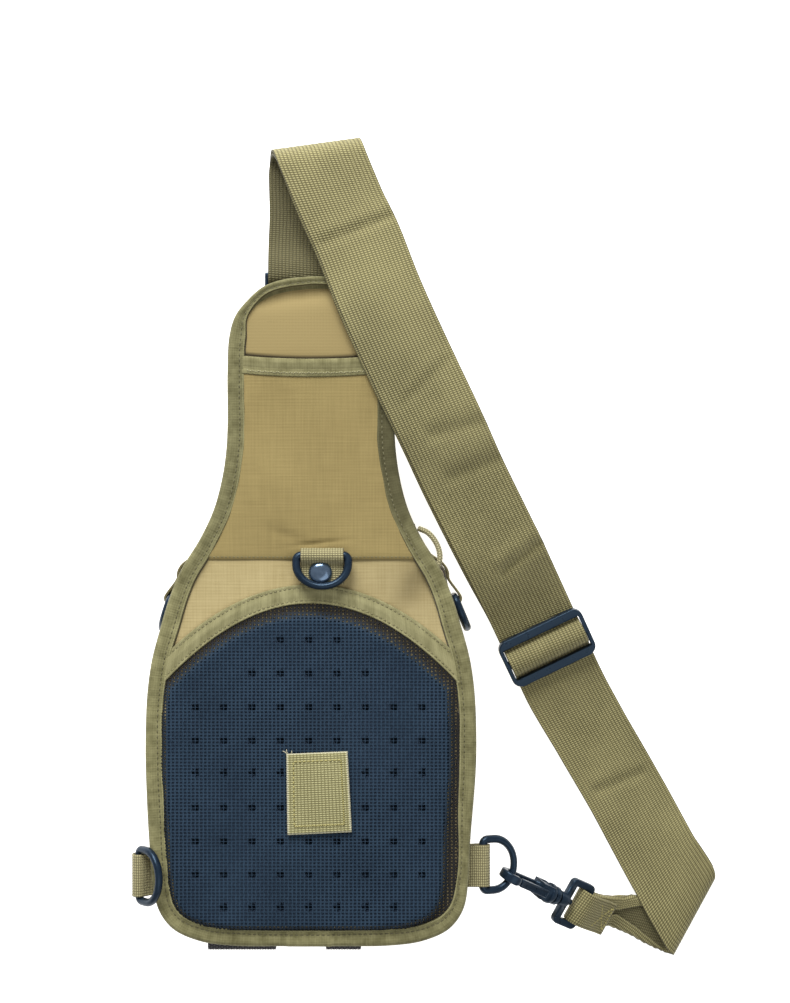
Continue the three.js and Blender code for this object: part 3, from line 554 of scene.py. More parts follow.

# Pocket mouth tape: ribbed olive binding folded over the pocket's raw edge and sewn through with one row.
# All the binding of the pack is this tape; its sewn line pulls in and its turned edge has a painted
# highlight.
MOUTH_SECTION = (  # along the pocket from its mouth, and height over it
    (-9.2, 0.5), (-9.3, 1.0), (-8.6, 1.3), (-6.6, 1.05), (-5.6, 0.95), (-4.4, 1.15), (-2, 1.5), (0.2, 1.45),
    (1.2, 0.7), (1.1, -0.3), (0.2, -0.9), (-1.0, -0.75), (0.3, -0.2), (0.3, 0.45),
)
STITCH = ((-0.5, 0.25, -1.25), (-0.32, 0.9, -0.25), (0.32, 0.9, -0.25), (0.5, 0.25, -1.25))
STITCH_SIDES = 6


def tape_finish(name, dark, light, rim=False):
    """Ribbed binding tape; with a rim, a painted highlight on its turned edge, a painted shadow line under it
    and painted shade.
    """
    material, tree, shader = new_finish(name, 0.8, 0.2, 0.1)
    where = own_map(tree)
    across = axes(where)[1]
    weave = use_group(square_weave, where, Pitch=0.00075)
    share = weave["Slub"] * 0.9 + toned(where, 160) * 1.4 + weave["Height"] * 0.14 - 0.72
    if rim:
        # Painted highlight on the turned edge, a painted shadow line under it, then painted shade.
        colour = mixed(share + (across < 0.0023) * 0.6, dark, light)
        colour = mixed(across < 0.0011, colour, (0.075, 0.062, 0.026))
        colour = mixed(painted(tree, "shade"), colour, (0.03, 0.026, 0.01))
    else:
        colour = mixed(share, dark, light)
    put(shader.inputs["Base Color"], colour)
    bumped(shader, weave["Height"] + weave["Slub"], 0.0002, 0.5)
    return material


def turns(first, last, count):
    """Points round a circle, from one angle to another in degrees."""
    return [(math.cos(t), math.sin(t)) for t in np.radians(np.linspace(first, last, count))]


def stitches(name, path, pitch, thread, slot, material, long=0.74):
    """A row of lock stitches along a path, each a short thread with its ends pulled in."""
    line = smooth_line(path, pitch)
    points, faces = [], []
    for a, b in zip(line, line[1:]):
        along = b - a
        across = np.cross((0, 0, 1), along)
        across /= max(np.linalg.norm(across), 1e-9)
        up = np.cross(along, across)
        up /= max(np.linalg.norm(up), 1e-9)
        base = len(points)
        for t, wide, rise in STITCH:
            middle = (a + b) / 2 + along * t * long + up * thread * rise
            for x, y in turns(0, 300, STITCH_SIDES):
                points.append(middle + thread * wide * (x * across + y * up))
        rings = [[base + r * STITCH_SIDES + k for k in range(STITCH_SIDES)] for r in range(len(STITCH))]
        for here, there in zip(rings, rings[1:]):
            for k in range(STITCH_SIDES):
                n = (k + 1) % STITCH_SIDES
                faces.append([here[k], here[n], there[n], there[k]])
        faces += [rings[0][::-1], rings[-1]]
    return fit(new_piece(name, points, faces), "bag", slot, material)


def thread_finish(name, dark, light):
    """Sewing thread, a little uneven in tone."""
    material, tree, shader = new_finish(name, 0.6)
    put(shader.inputs["Base Color"], mixed(toned(own_place(tree), 300), dark, light))
    return material


ribbed_tape = tape_finish("olive_tape", (0.095, 0.086, 0.033), (0.275, 0.255, 0.127))
shares = np.linspace(-1, 1, 90)
mouth = pocket_row(shares, 1.0)
rows = []
for along, up in MOUTH_SECTION:
    over = pocket_row(shares, 1 + min(along, 0) / POCKET_TALL)
    rows.append(np.column_stack([mouth[:, 0], mouth[:, 1] + along, over[:, 2] + up]))
mouth_tape = cloth(
    "slip_pocket_tape", np.array(rows), mouth[:, 0], 1.2 * np.arange(len(MOUTH_SECTION) + 1), round_rows=True
)
fit(mend(mouth_tape), "bag", "olive_binding", ribbed_tape, "slip_pocket_binding")
olive_thread = thread_finish("olive_thread", (0.1, 0.088, 0.036), (0.26, 0.24, 0.12))
foot = pocket_row(np.linspace(-0.98, 0.98, 60), 1.6 / POCKET_TALL) + (0, 0, 0.5)
stitches("slip_pocket_foot_stitches", foot, 2.3, 0.3, "tan_fabric", olive_thread)
zigzag_thread = thread_finish("zigzag_thread", (0.2, 0.186, 0.094), (0.36, 0.337, 0.19))
sewn = pocket_row(np.linspace(-0.93, 0.93, 42), 1 - 7.2 / POCKET_TALL) + (0, 0, 1.35)
sewn[:, 1] += np.where(np.arange(42) % 2 == 0, 0.75, -0.75)
stitches("slip_pocket_stitches", sewn, 2.05, 0.36, "olive_binding", zigzag_thread, long=0.9)

# Foam pad: a navy foam sheet with rows of punched holes, laid on the panel under the net.
# Its upper edge is pressed round by the net.
ARCH_TOP, ARCH_DROP, ARCH_AT = 205.0, 43.0, 85.0
PAD_SECTION = (  # inwards and height
    (3, 75.4), (0.3, 75.4), (0, 76.2), (0, 78.6), (0.4, 79.7), (1.2, 80.3), (2.6, 80.5), (5, 80.5)
)
HOLE_ROWS = (  # height on the panel and how many holes
    (179, 3), (159.5, 5), (139.5, 9), (120.3, 9), (101.4, 9), (81.3, 9), (61.6, 9), (42.4, 9), (23.2, 7)
)
HOLE_FIRST, HOLE_PITCH, HOLE_MOST = -66.7, 16.5, 9


def arch_line(out, inset, count):
    """A line beside the arch, from the left binding to the right."""
    def beside(u):
        slope = -2 * ARCH_DROP * u / ARCH_AT**2
        long = np.hypot(1, slope)
        v = ARCH_TOP - ARCH_DROP * (u / ARCH_AT) ** 2
        return np.column_stack([u - slope * out / long, v + out / long])

    reaches = np.linspace(60, 95, 400)
    tries = beside(reaches)
    reach = reaches[np.argmax(tries[:, 0] > half_at(tries[:, 1], inset))]
    return beside(np.linspace(-reach, reach, count))


def pad_outline(out, inset):
    """The net's own outline inside the arch and the binding."""
    top = arch_line(out, inset, 90)
    side = coarse.inset(inset, 0)[:, :2]
    low = side[(side[:, 1] < top[0, 1] - 3) & (coarse.v < top[0, 1])]
    return np.vstack([top, low])


def clear_of(points, outline):
    """Distance of each point inside an outline; negative outside."""
    best = np.full(len(points), 1e9)
    odd = np.zeros(len(points), bool)
    for p, q in zip(outline, np.roll(outline, -1, 0)):
        along = q - p
        t = np.clip(((points - p) @ along) / max(along @ along, 1e-9), 0, 1)
        best = np.minimum(best, np.linalg.norm(points - p - t[:, None] * along, axis=1))
        crosses = (p[1] > points[:, 1]) != (q[1] > points[:, 1])
        rise = np.where(abs(q[1] - p[1]) < 1e-9, 1e-9, q[1] - p[1])
        odd ^= crosses & (points[:, 0] < (q[0] - p[0]) * (points[:, 1] - p[1]) / rise + p[0])
    return np.where(odd, best, -best)


def carve(piece, tool, operation="DIFFERENCE"):
    """Cuts a tool out of a piece, or joins it on, and clears the tool away."""
    step = piece.modifiers.new("carve", "BOOLEAN")
    step.operation = operation
    step.solver = "EXACT"
    step.object = tool
    settle(piece, step)
    bpy.data.objects.remove(tool)
    return piece


net_edge = smooth_line(pad_outline(-5.8, 10.4), 2.5, loop=True)
pad_edge = net_edge * (0.953, 0.948) + (-1.7, 2.6)
pad_in = inward_of(pad_edge)
count = len(pad_edge)
grid = np.array([np.column_stack([pad_edge + pad_in * far, np.full(count, z)]) for far, z in PAD_SECTION])
pad = cloth("foam_pad_sheet", grid, range(count + 1), range(len(PAD_SECTION)), round_cols=True)
shape = bmesh.new()
shape.from_mesh(pad.data)
shape.verts.ensure_lookup_table()
shape.faces.new([shape.verts[i] for i in range(count)])
shape.faces.new([shape.verts[7 * count + i] for i in reversed(range(count))])
bmesh.ops.recalc_face_normals(shape, faces=shape.faces)
shape.to_mesh(pad.data)
shape.free()
punches, punched = bmesh.new(), []
for v, holes in HOLE_ROWS:
    for i in range(holes):
        punched.append((HOLE_FIRST + HOLE_PITCH * (i + (HOLE_MOST - holes) / 2), v))
        centre = in_frame([(*punched[-1], 82.2)])[0]
        bmesh.ops.create_cone(
            punches, cap_ends=True, segments=14, radius1=0.0024, radius2=0.0024, depth=0.012,
            matrix=Matrix.Translation(centre),
        )
punch_mesh = bpy.data.meshes.new("punches")
punches.to_mesh(punch_mesh)
punches.free()
punch = bpy.data.objects.new("punches", punch_mesh)
scene.collection.objects.link(punch)
carve(pad, punch)
foam, tree, shader = new_finish("navy_foam", 0.75, 0.3)
where = own_place(tree)
cells = tree.nodes.new("ShaderNodeTexVoronoi")
put(cells.inputs["Scale"], 1400)
put(cells.inputs["Vector"], where)
cell = Value(cells.outputs["Distance"])
share = toned(where, 18) * 0.8 + cell * 0.3
put(shader.inputs["Base Color"], mixed(share, (0.005, 0.011, 0.024), (0.018, 0.034, 0.064)))
bumped(shader, cell, 0.0002, 0.5)
fit(pad, "bag", "navy_foam", foam, "foam_pad")

# Net: an open knit over the pad, caught in the arch tape and the binding all round.
# Its wales carry painted light: slate blue where the pad lifts them to the light, black painted shade along
# the margins.
# Each opening is a real hole, so the foam shows through and the panel along the margins.
CELL_U, CELL_V = 2.35, 1.95
OPENING = ((-0.25, -0.33), (0.25, -0.33), (0.34, 0.0), (0.25, 0.33), (-0.25, 0.33), (-0.34, 0.0))
OVER_HOLE = 2.4
net_outline = smooth_line(pad_outline(-4.6, 9.4 - coarse.slim), 2.5, loop=True)
columns = np.arange(-39, 40)
lines = np.arange(3, 104)
cell_u, cell_v = np.meshgrid(columns * CELL_U, lines * CELL_V)
middles = np.column_stack([cell_u.ravel(), cell_v.ravel()])
inside = (clear_of(middles, net_outline) > 0).reshape(cell_u.shape)
near_pad = np.clip(clear_of(middles, pad_edge) / 3, 0, 1).reshape(cell_u.shape)
to_holes = np.linalg.norm(middles[:, None, :] - np.array(punched)[None, :, :], axis=2)
at_hole = (to_holes.min(1) < OVER_HOLE).reshape(cell_u.shape)
corner_of, net_points, net_faces, crest = {}, [], [], []
for r, c in np.argwhere(inside).tolist():
    ring = []
    for a, b in ((0, 0), (0, 1), (1, 1), (1, 0)):
        key = (r + a, c + b)
        if key not in corner_of:
            corner_of[key] = len(net_points)
            sway = 0.12 * CELL_U * (1 if (r + a) % 2 else -1)
            crest.append(1.0)
            net_points.append(((columns[c] + b - 0.5) * CELL_U + sway, (lines[r] + a - 0.5) * CELL_V, 0.0))
        ring.append(corner_of[key])
    h = [len(net_points) + k for k in range(6)]
    open_to = 0.7 + 0.08 * near_pad[r, c] + 0.08 * math.sin(1.7 * c) * math.sin(0.6 * r + c)
    open_to += 0.4 if at_hole[r, c] else 0
    crest += [0.0 if at_hole[r, c] else 0.2] * 6
    for a, b in OPENING:
        net_points.append(((columns[c] + a * open_to) * CELL_U, (lines[r] + b * open_to) * CELL_V, -0.22))
    net_faces += [
        (ring[0], ring[1], h[1], h[0]), (ring[1], ring[2], h[3], h[2]), (ring[1], h[2], h[1]),
        (ring[2], ring[3], h[4], h[3]), (ring[3], ring[0], h[0], h[5]), (ring[3], h[5], h[4]),
    ]
net_points = np.array(net_points)
depth = clear_of(net_points[:, :2], pad_edge)
over_pad = np.clip((depth + 4.2) / 5.2, 0, 1)
net_points[:, 2] += 75.75 + 5.5 * ease(depth, -4.2, 5.2)
net_points[:, 2] += 0.18 * np.sin(net_points[:, 0] / 21) * np.sin(net_points[:, 1] / 27) * over_pad
net = new_piece("net_cover", net_points, net_faces)
paint(net, "crest", crest)
paint(net, "over_pad", over_pad)
net_yarn, tree, shader = new_finish("net_yarn", 0.75, 0.12)
where = own_place(tree)
tone = toned(where, 700)
# Painted light on the yarn: lighter at the corners of each cell, darker at the rims of its openings and over
# the punched holes.
share = painted(tree, "crest") * (tone + toned(where, 26))
slate = mixed(share, (0.003, 0.008, 0.016), (0.027, 0.051, 0.083))
black = mixed(share, (0.005, 0.0045, 0.0045), (0.022, 0.021, 0.021))
put(shader.inputs["Base Color"], mixed(painted(tree, "over_pad"), black, slate))
bumped(shader, tone, 0.0002, 0.6)
fit(net, "bag", "black_mesh", net_yarn, "mesh_cover")

# Arch tape: the same olive tape, laid flat in an arch over the net's upper edge and sewn with two rows.
# Its ends run under the binding at both sides.
ARCH_SECTION = (  # outwards from the arch and height
    (5.5, 75.4), (5.55, 76.1), (5.1, 76.45), (4.3, 76.3), (3.7, 76.15), (3.0, 76.4), (0, 76.65), (-3.0, 76.4),
    (-3.7, 76.15), (-4.3, 76.3), (-5.1, 76.45), (-5.55, 76.1), (-5.5, 75.4),
)
sway = 0.12 * np.sin(np.linspace(0, 31, 120))
grid = np.array([np.column_stack([arch_line(out, 8.5, 120), z + sway]) for out, z in ARCH_SECTION])
arch = cloth(
    "arch_tape", grid, 1.6 * np.arange(120), 1.1 * np.arange(len(ARCH_SECTION) + 1), round_rows=True
)
arch_tape = tape_finish("arch_tape", (0.13, 0.12, 0.05), (0.37, 0.345, 0.18))
fit(mend(arch), "bag", "olive_binding", arch_tape, "arch_binding")
for name, out in (("arch_upper_stitches", 3.7), ("arch_lower_stitches", -3.7)):
    path = np.column_stack([arch_line(out, 10.5, 120), np.full(120, 76.35)])
    stitches(name, path, 2.8, 0.4, "olive_binding", olive_thread)

# Webbing patch: a short length of the wide webbing, sewn flat on the net close to its edges.
# Its cut ends are melted pale, and a few threads stick out at one corner.
PATCH = np.array([(-13.2, 65.7), (24, 67.4), (21.5, 114.1), (-13.8, 112.6)])
PATCH_MIDDLE, PATCH_WIDE, PATCH_TALL = np.array([4.6, 90.0]), 37, 47

ribbed_weave, given, made = new_group("ribbed_weave", ("Rib", "Pick", "Shift", "Groove"), ("Height",))
across, along = axes(given["Vector"])
ribs = across / given["Rib"]
crest = abs((ribs * math.pi).calc("SINE"))
beat = (along / given["Pick"] + ribs.calc("FLOOR") * given["Shift"]) * (2 * math.pi)
put(made["Height"], crest.calc("POWER", given["Groove"]) * (beat.calc("COSINE") * 0.4 + 0.6))


def webbing_finish(name, dark, light, rib, pick, shift, melted=None, groove=0.5):
    """Ribbed nylon webbing: dark between the threads, pale on their crests and on edges that were melted."""
    material, tree, shader = new_finish(name, 0.72, 0.3, 0.1)
    where = own_map(tree)
    height = use_group(ribbed_weave, where, Rib=rib, Pick=pick, Shift=shift, Groove=groove)["Height"]
    colour = mixed(height + toned(where, 16) * 0.7 - 0.37, dark, light)
    # Painted shade, where a piece has the value shade painted on.
    colour = mixed(painted(tree, "shade"), colour, (0.03, 0.026, 0.01))
    if melted:
        x, y = axes(where)
        edge = (abs(x) > melted[0]).calc("MAXIMUM", y < 0.0008).calc("MAXIMUM", y > melted[1])
        colour = mixed(edge * 0.5, colour, (0.68, 0.66, 0.5))
    put(shader.inputs["Base Color"], colour)
    bumped(shader, height, 0.0005, 0.8)
    return material


def ribbon(name, path, side, wide, thick, step, rib=1.54):
    """A length of webbing along a path, with ribs that run its whole length."""
    line = smooth_line(path, step)
    count = 2 * int(round(wide / rib)) + 1
    across = np.linspace(-wide / 2, wide / 2, count)
    up = np.cross(np.gradient(line, axis=0), side)
    up /= np.linalg.norm(up, axis=1)[:, None]
    wave = np.where(np.arange(count) % 2 == 0, -0.09, 0.09)
    grid = line[:, None, :] + across[None, :, None] * np.asarray(side, float)
    grid = grid + wave[None, :, None] * up[:, None, :]
    return thicken(cloth(name, grid, across, lengths(line)), thick)


def tube(name, path, radius, sides):
    """A round thread or cord along a path."""
    along = np.gradient(path, axis=0)
    along /= np.linalg.norm(along, axis=1)[:, None]
    across = np.cross(along, (0.0, 0.0, 1.0))
    across /= np.linalg.norm(across, axis=1)[:, None]
    up = np.cross(across, along)
    angles = np.linspace(0, 2 * math.pi, sides, endpoint=False)
    grid = path[:, None, :] + radius * (
        np.cos(angles)[None, :, None] * across[:, None, :] + np.sin(angles)[None, :, None] * up[:, None, :]
    )
    girth = 2 * math.pi * radius / sides * np.arange(sides + 1)
    piece = cloth(name, grid, girth, lengths(path), round_cols=True)
    shape = bmesh.new()
    shape.from_mesh(piece.data)
    bmesh.ops.holes_fill(shape, edges=[e for e in shape.edges if e.is_boundary], sides=sides)
    bmesh.ops.recalc_face_normals(shape, faces=shape.faces)
    shape.to_mesh(piece.data)
    shape.free()
    return piece


webbing = webbing_finish(
    "olive_webbing", (0.07, 0.061, 0.022), (0.42, 0.378, 0.174), 0.05 / 24, 0.00129, 0.13, groove=0.62
)
patch_webbing = webbing_finish(
    "patch_webbing", (0.15, 0.134, 0.05), (0.51, 0.485, 0.25), 0.037 / 18, 0.00129, 0.0, (0.0175, 0.0465)
)
rows, cols = 32, 37
a, b = np.meshgrid(np.linspace(0, 1, cols), np.linspace(0, 1, rows))
nearness = ((1 - a) * (1 - b), a * (1 - b), a * b, (1 - a) * b)
patch_flat = sum(corner * share[..., None] for corner, share in zip(PATCH, nearness))
patch_z = 82.9 + 0.1 * np.where(np.arange(cols) % 2 == 0, -1, 1)[None, :]
patch_z = patch_z + 0.5 * np.sin(math.pi * a) * np.sin(math.pi * b)
patch = cloth("webbing_patch_sheet", np.dstack([patch_flat, patch_z]), PATCH_WIDE * (a - 0.5), PATCH_TALL * b)
thicken(patch, 1.7)
fit(patch, "bag", "webbing", patch_webbing, "webbing_patch")
yellow_thread = thread_finish("yellow_thread", (0.2, 0.17, 0.045), (0.5, 0.45, 0.17))
inner = [PATCH[k] + (PATCH_MIDDLE - PATCH[k]) * (0.22, 0.2) for k in (0, 1, 2, 3, 0)]
for k in range(4):
    path = np.array([(*(inner[k] + (inner[k + 1] - inner[k]) * t), 84.2) for t in np.linspace(0, 1, 26)])
    if k < 2:
        path[:, 1 - k] += np.where(np.arange(26) % 2 == 0, 0.6, -0.6)
    stitches(f"patch_stitches_{k + 1}", path, 1.9 if k < 2 else 2.6, 0.42, "webbing", yellow_thread)
pale_thread, tree, shader = new_finish("pale_thread", 0.5)
put(shader.inputs["Base Color"], mixed(toned(own_map(tree), 900), (0.4, 0.37, 0.24), (0.62, 0.58, 0.42)))
for k, (du, dv, bow) in enumerate(((-2.6, 2.2, 0.6), (-1.4, 3.0, -0.5), (0.6, 2.3, 0.4))):
    u, v = -13.4 + k, 112.2
    path = smooth_line([(u, v, 83.1), (u + du / 2 + bow, v + dv / 2, 83.6), (u + du, v + dv, 83.3)], 0.6)
    fit(tube(f"patch_fray_{k + 1}", path, 0.22, 6), "bag", "webbing", pale_thread)

# Edge binding: olive tape folded round the raw edge of panel and gusset, all the way about the pack. It rolls
# over the edge, is pulled in by its sewn line, narrows over the neck, and overlaps itself at the base.
BINDING_SECTION = (  # share of its width inwards, and height
    (1.07, 74.95), (1.0, 75.8), (0.97, 76.35), (0.91, 76.45), (0.81, 76.2), (0.72, 75.85), (0.62, 76.3),
    (0.42, 76.75), (0.28, 76.9), (0.15, 76.6), (0.05, 75.8), (0.0, 74.6), (0.0, 73.0), (0.04, 71.8),
    (0.12, 70.8), (0.3, 70.3), (0.55, 70.2), (0.8, 70.3), (0.8, 71.2), (0.5, 71.3),
)
BINDING_WIDE = 10
band = Outline(2.0)
wide = BINDING_WIDE - band.slim - 5.4 * ease(band.v, 354, 26)
wide = wide + 0.25 * np.sin(band.run / 17) + 0.15 * np.sin(band.run / 6.1)
wander = band.run + 9 * np.sin(band.run / 31)
ripple = 0.24 * np.sin(wander / 4.6) + 0.14 * np.sin(wander / 2.3 + 1) + 0.2 * np.sin(wander / 13)
lap = np.where((band.v < 3) & (band.u > -13.4) & (band.u < 11.7), 0.7, 0.0)
rows = []
for share, z in BINDING_SECTION:
    inwards = (BINDING_WIDE + band.tuck if z < 71.5 and share >= 0.3 else wide) * share
    inwards = inwards - (0.25 * lap if share < 0.3 else 0)
    rows.append(band.inset(inwards, z + (ripple + lap if z > 75.5 else 0)))
reach = lengths(np.array(BINDING_SECTION) * (BINDING_WIDE, 1))
reach = np.append(reach, reach[-1] + 3)
binding = cloth("edge_binding_tape", np.array(rows), band.far, reach, round_rows=True, round_cols=True)
# Painted shade on the binding: a painted shadow beside the strap, a little darker over the neck, and at the
# lower right.
strap_shadow = np.where(band.u > 20, 0.74 * bell(band.v - 292, 54, 4), 0)
over_neck = 0.27 * np.clip((band.v - 190) / 60, 0, 1)
low_right = np.where((band.u > 50) & (band.v < 190), 0.14, 0)
shade = np.maximum(np.maximum(strap_shadow, over_neck), low_right)
paint(binding, "shade", np.tile(shade, len(BINDING_SECTION)))
edge_tape = tape_finish("edge_tape", (0.092, 0.085, 0.032), (0.295, 0.277, 0.136), rim=True)
fit(mend(binding), "bag", "olive_binding", edge_tape, "edge_binding")
line = band.inset(wide * 0.72, 76.1 + ripple + lap)
dark_thread = thread_finish("dark_thread", (0.065, 0.058, 0.024), (0.17, 0.157, 0.075))
stitches("edge_binding_stitches", np.vstack([line, line[:1]]), 3.1, 0.42, "olive_binding", dark_thread)

# Middle tab: narrow webbing doubled round its ring on the seam of the pocket, held by a domed rivet.
# The ring hangs on the turn of the tab and lies over the arch.
TAB_WIDE, TAB_THICK, TAB_TURN = 24.6, 1.35, 3.5
CENTRE_U, CENTRE_LOW = 6.8, 77.3
tab_webbing = webbing_finish(
    "tab_webbing", (0.13, 0.112, 0.05), (0.5, 0.455, 0.245), 0.0246 / 16, 0.0012, 0.0
)


def tab(node, path, side, step=1.0):
    """A tab of narrow webbing, doubled round its ring."""
    piece = ribbon(f"{node}_webbing", path, side, TAB_WIDE, TAB_THICK, step)
    fit(piece, "bag", "webbing", tab_webbing, node)


path = [(210.8, 0), (218.4, 0), (226.9, 0)]
path += [(227.8 + TAB_TURN * x, TAB_TURN + TAB_TURN * y) for x, y in turns(-60, 150, 9)]
path += [(222.7, 1.9), (217.3, 1.75), (210.8, 1.7)]
tab("centre_tab", [(CENTRE_U, v, CENTRE_LOW + rise) for v, rise in path], (1, 0, 0))


def select_where(piece, test, kind="FACE"):
    """Selects, in edit mode, the faces or points that a test picks by their middle and normal."""
    bpy.ops.mesh.select_mode(type=kind)
    bpy.ops.mesh.select_all(action="DESELECT")
    shape = bmesh.from_edit_mesh(piece.data)
    for item in shape.faces if kind == "FACE" else shape.verts:
        middle = item.calc_center_median() if kind == "FACE" else item.co
        item.select = bool(test(middle, item.normal))
    shape.select_flush_mode()
    bmesh.update_edit_mesh(piece.data)


def extrude(x, y, z):
    """Draws out what is selected."""
    bpy.ops.mesh.extrude_region_move(TRANSFORM_OT_translate={"value": (x, y, z)})


def start(kind, scale=(1, 1, 1), **sizes):
    """Adds a primitive on its own and opens it for editing."""
    bpy.ops.object.select_all(action="DESELECT")
    getattr(bpy.ops.mesh, f"primitive_{kind}_add")(**sizes)
    bpy.ops.object.transform_apply(location=True, rotation=True, scale=True)
    bpy.ops.object.mode_set(mode="EDIT")
    bpy.ops.mesh.select_all(action="SELECT")
    bpy.ops.transform.resize(value=scale, center_override=tuple(sizes["location"]))
    return bpy.context.object


def done(piece, name, bevel=0.0, segments=3):
    """Closes editing, rounds the edges and smooths the piece."""
    bpy.ops.object.mode_set(mode="OBJECT")
    piece.name = piece.data.name = name
    mend(piece)
    if bevel:
        edge = piece.modifiers.new("edges", "BEVEL")
        edge.width = bevel
        edge.segments = segments
        edge.limit_method = "ANGLE"
        edge.angle_limit = math.radians(30)
        settle(piece, edge)
    bpy.ops.object.shade_smooth_by_angle(angle=math.radians(40))
    return piece


rivet_metal, tree, shader = new_finish("rivet_gloss", 0.12, 0.6)
tone = toned(own_place(tree), 420)
put(shader.inputs["Base Color"], mixed(tone, (0.08, 0.125, 0.19), (0.17, 0.24, 0.34)))
put(shader.inputs["Metallic"], 0.85)
put(shader.inputs["Roughness"], tone * 0.16 + 0.12)
rivet_at = in_frame([(5.7, 217.4, 80.25)])[0]
rivet_middle = Vector(rivet_at[:2])
rivet = start("cylinder", vertices=40, radius=0.0069, depth=0.0007, location=rivet_at)
for scale, rise in ((0.9, 0.0009), (0.86, 0.0007), (0.72, 0.0005), (0.5, 0.0002)):
    select_where(rivet, lambda middle, normal: normal.z > 0.9 and (middle.xy - rivet_middle).length < 1e-4)
    extrude(0, 0, rise)
    bpy.ops.transform.resize(value=(scale, scale, 1), center_override=tuple(rivet_at))
fit(done(rivet, "centre_rivet_dome", 0.0003, 2), "bag", "rivet_metal", rivet_metal, "centre_rivet")

# D-rings: moulded in dark blue-grey nylon, a straight bar with a round bow.
# The five are one shape, the middle one with shorter arms; the section is round, with a satin skin.
RING_HALF, RING_BOW, RING_WIRE, RING_CORNER = 0.0151, 0.0129, 0.0024, 0.003
RING_ARM = 0.007
LEFT_RING, RIGHT_RING, SIDE_RING = (-101, 40, 70.3), (101, 44.4, 64.5), (85.1, 201, 37)
moulded, tree, shader = new_finish("moulded_nylon", 0.36, 0.4)
put(shader.inputs["Specular Tint"], (0.47, 0.71, 1.0, 1))
where = own_place(tree)
tone = toned(where, 260)
put(shader.inputs["Base Color"], mixed(tone, (0.003, 0.007, 0.013), (0.011, 0.02, 0.035)))
put(shader.inputs["Roughness"], tone * 0.3 + 0.16)
bumped(shader, noise(where, 2400), 0.0001, 0.35)


def ring_shape(name, arm):
    """A D-ring with its bar along x at the origin and its bow towards -y, at the end of two arms."""
    ring = start(
        "circle", vertices=16, radius=RING_WIRE, location=(RING_HALF, 0, 0), rotation=(math.pi / 2, 0, 0)
    )
    bpy.ops.mesh.spin(steps=26, angle=math.pi, center=(0, 0, 0), axis=(0, 0, 1))
    bpy.ops.mesh.select_all(action="SELECT")
    bpy.ops.transform.resize(value=(1, RING_BOW / RING_HALF, 1), center_override=(0, 0, 0))
    bpy.ops.transform.translate(value=(0, -arm, 0))
    select_where(ring, lambda middle, normal: middle.x < 0 and abs(middle.y + arm) < 1e-5, "VERT")
    side = RING_HALF - RING_CORNER
    extrude(0, arm - RING_CORNER, 0)
    bpy.ops.mesh.spin(steps=6, angle=math.pi / 2, center=(-side, -RING_CORNER, 0), axis=(0, 0, 1))
    extrude(2 * side, 0, 0)
    bpy.ops.mesh.spin(steps=6, angle=math.pi / 2, center=(side, -RING_CORNER, 0), axis=(0, 0, 1))
    extrude(0, RING_CORNER - arm, 0)
    return done(ring, name)


def set_in(mesh, place, x_way, y_way):
    """Moves a mesh from its own axes to a place on the bag."""
    x, y = Vector(x_way), Vector(y_way)
    turn = Matrix((x, y, x.cross(y))).transposed().to_4x4()
    turn.translation = Vector(in_frame([place])[0])
    mesh.transform(turn)


def heading(degrees):
    return math.cos(math.radians(degrees)), math.sin(math.radians(degrees))


centre_out, centre_down = heading(8.5)
left_out, left_down = heading(47.5)
right_out, right_up = heading(20)
side_left_down, side_left_out = heading(18.4)
side_right_down, side_right_out = heading(22.8)
RINGS = (  # node, body, arm, place of the bar, way of the bar, way from the bow to the bar
    ("centre_d_ring", "centre_ring", 0.0053, (CENTRE_U, 227.8, 80.8), (1, 0, 0),
     (0, centre_out, -centre_down)),
    ("left_d_ring", "left_ring", RING_ARM, LEFT_RING, (0, 1, 0), (-left_out, 0, -left_down)),
    ("right_d_ring", "bag", RING_ARM, RIGHT_RING, (0, 1, 0), (-right_out, 0, right_up)),
    ("side_d_ring_left", "side_ring_left", RING_ARM, (-SIDE_RING[0], *SIDE_RING[1:]), (0, 0, 1),
     (side_left_out, side_left_down, 0)),
    ("side_d_ring_right", "side_ring_right", RING_ARM, SIDE_RING, (0, 0, 1),
     (-side_right_out, side_right_down, 0)),
)
for node, body, arm, place, x_way, y_way in RINGS:
    ring = ring_shape(f"{node}_moulded", arm)
    set_in(ring.data, place, x_way, y_way)
    fit(ring, body, "dark_plastic", moulded, node)

# Lower tabs: narrow webbing that leaves the gusset under the binding and turns round each lower ring.
# Both layers are sewn into the seam.
for node, (ring_u, ring_v, ring_z), lower, sweep, upper in (
    ("left_tab", LEFT_RING, ((-84, 66.2), (-89, 66.2), (-93, 66)), (285, 70),
     ((-95, 68.9), (-92.4, 68.2), (-88.2, 68.1), (-84, 68.1))),
    ("right_tab", RIGHT_RING, ((85, 66), (88.4, 65.2), (95, 62.4)), (250, 440),
     ((96.5, 67.4), (88.4, 67.6), (85, 67.6))),
):
    turn = [(ring_u + TAB_TURN * x, ring_z + TAB_TURN * y) for x, y in turns(*sweep, 10)]
    tab(node, [(u, ring_v, z) for u, z in (*lower, *turn, *upper)], (0, 1, 0))

# Side tabs: the same webbing, sewn to the shell's wall below the zip, each with its ring towards the base.
# They lie along the wall where it swells out.
beside = (coarse.u > 0) & (coarse.v > 208) & (coarse.v < 238)
wall = coarse.inset(wall_in, SIDE_RING[2])[beside, :2]
inner, outer = (wall - coarse.inward[beside] * out for out in (1.1, 2.9))
turn = [(SIDE_RING[0] + TAB_TURN * x, SIDE_RING[1] + TAB_TURN * y) for x, y in turns(170, 380, 10)]
path = np.array([*inner[:-1], *turn, *outer[:-1][::-1]])
for node, sign in (("side_tab_left", -1), ("side_tab_right", 1)):
    tab(node, [(sign * u, v, SIDE_RING[2]) for u, v in path], (0, 0, 1), 1.2)

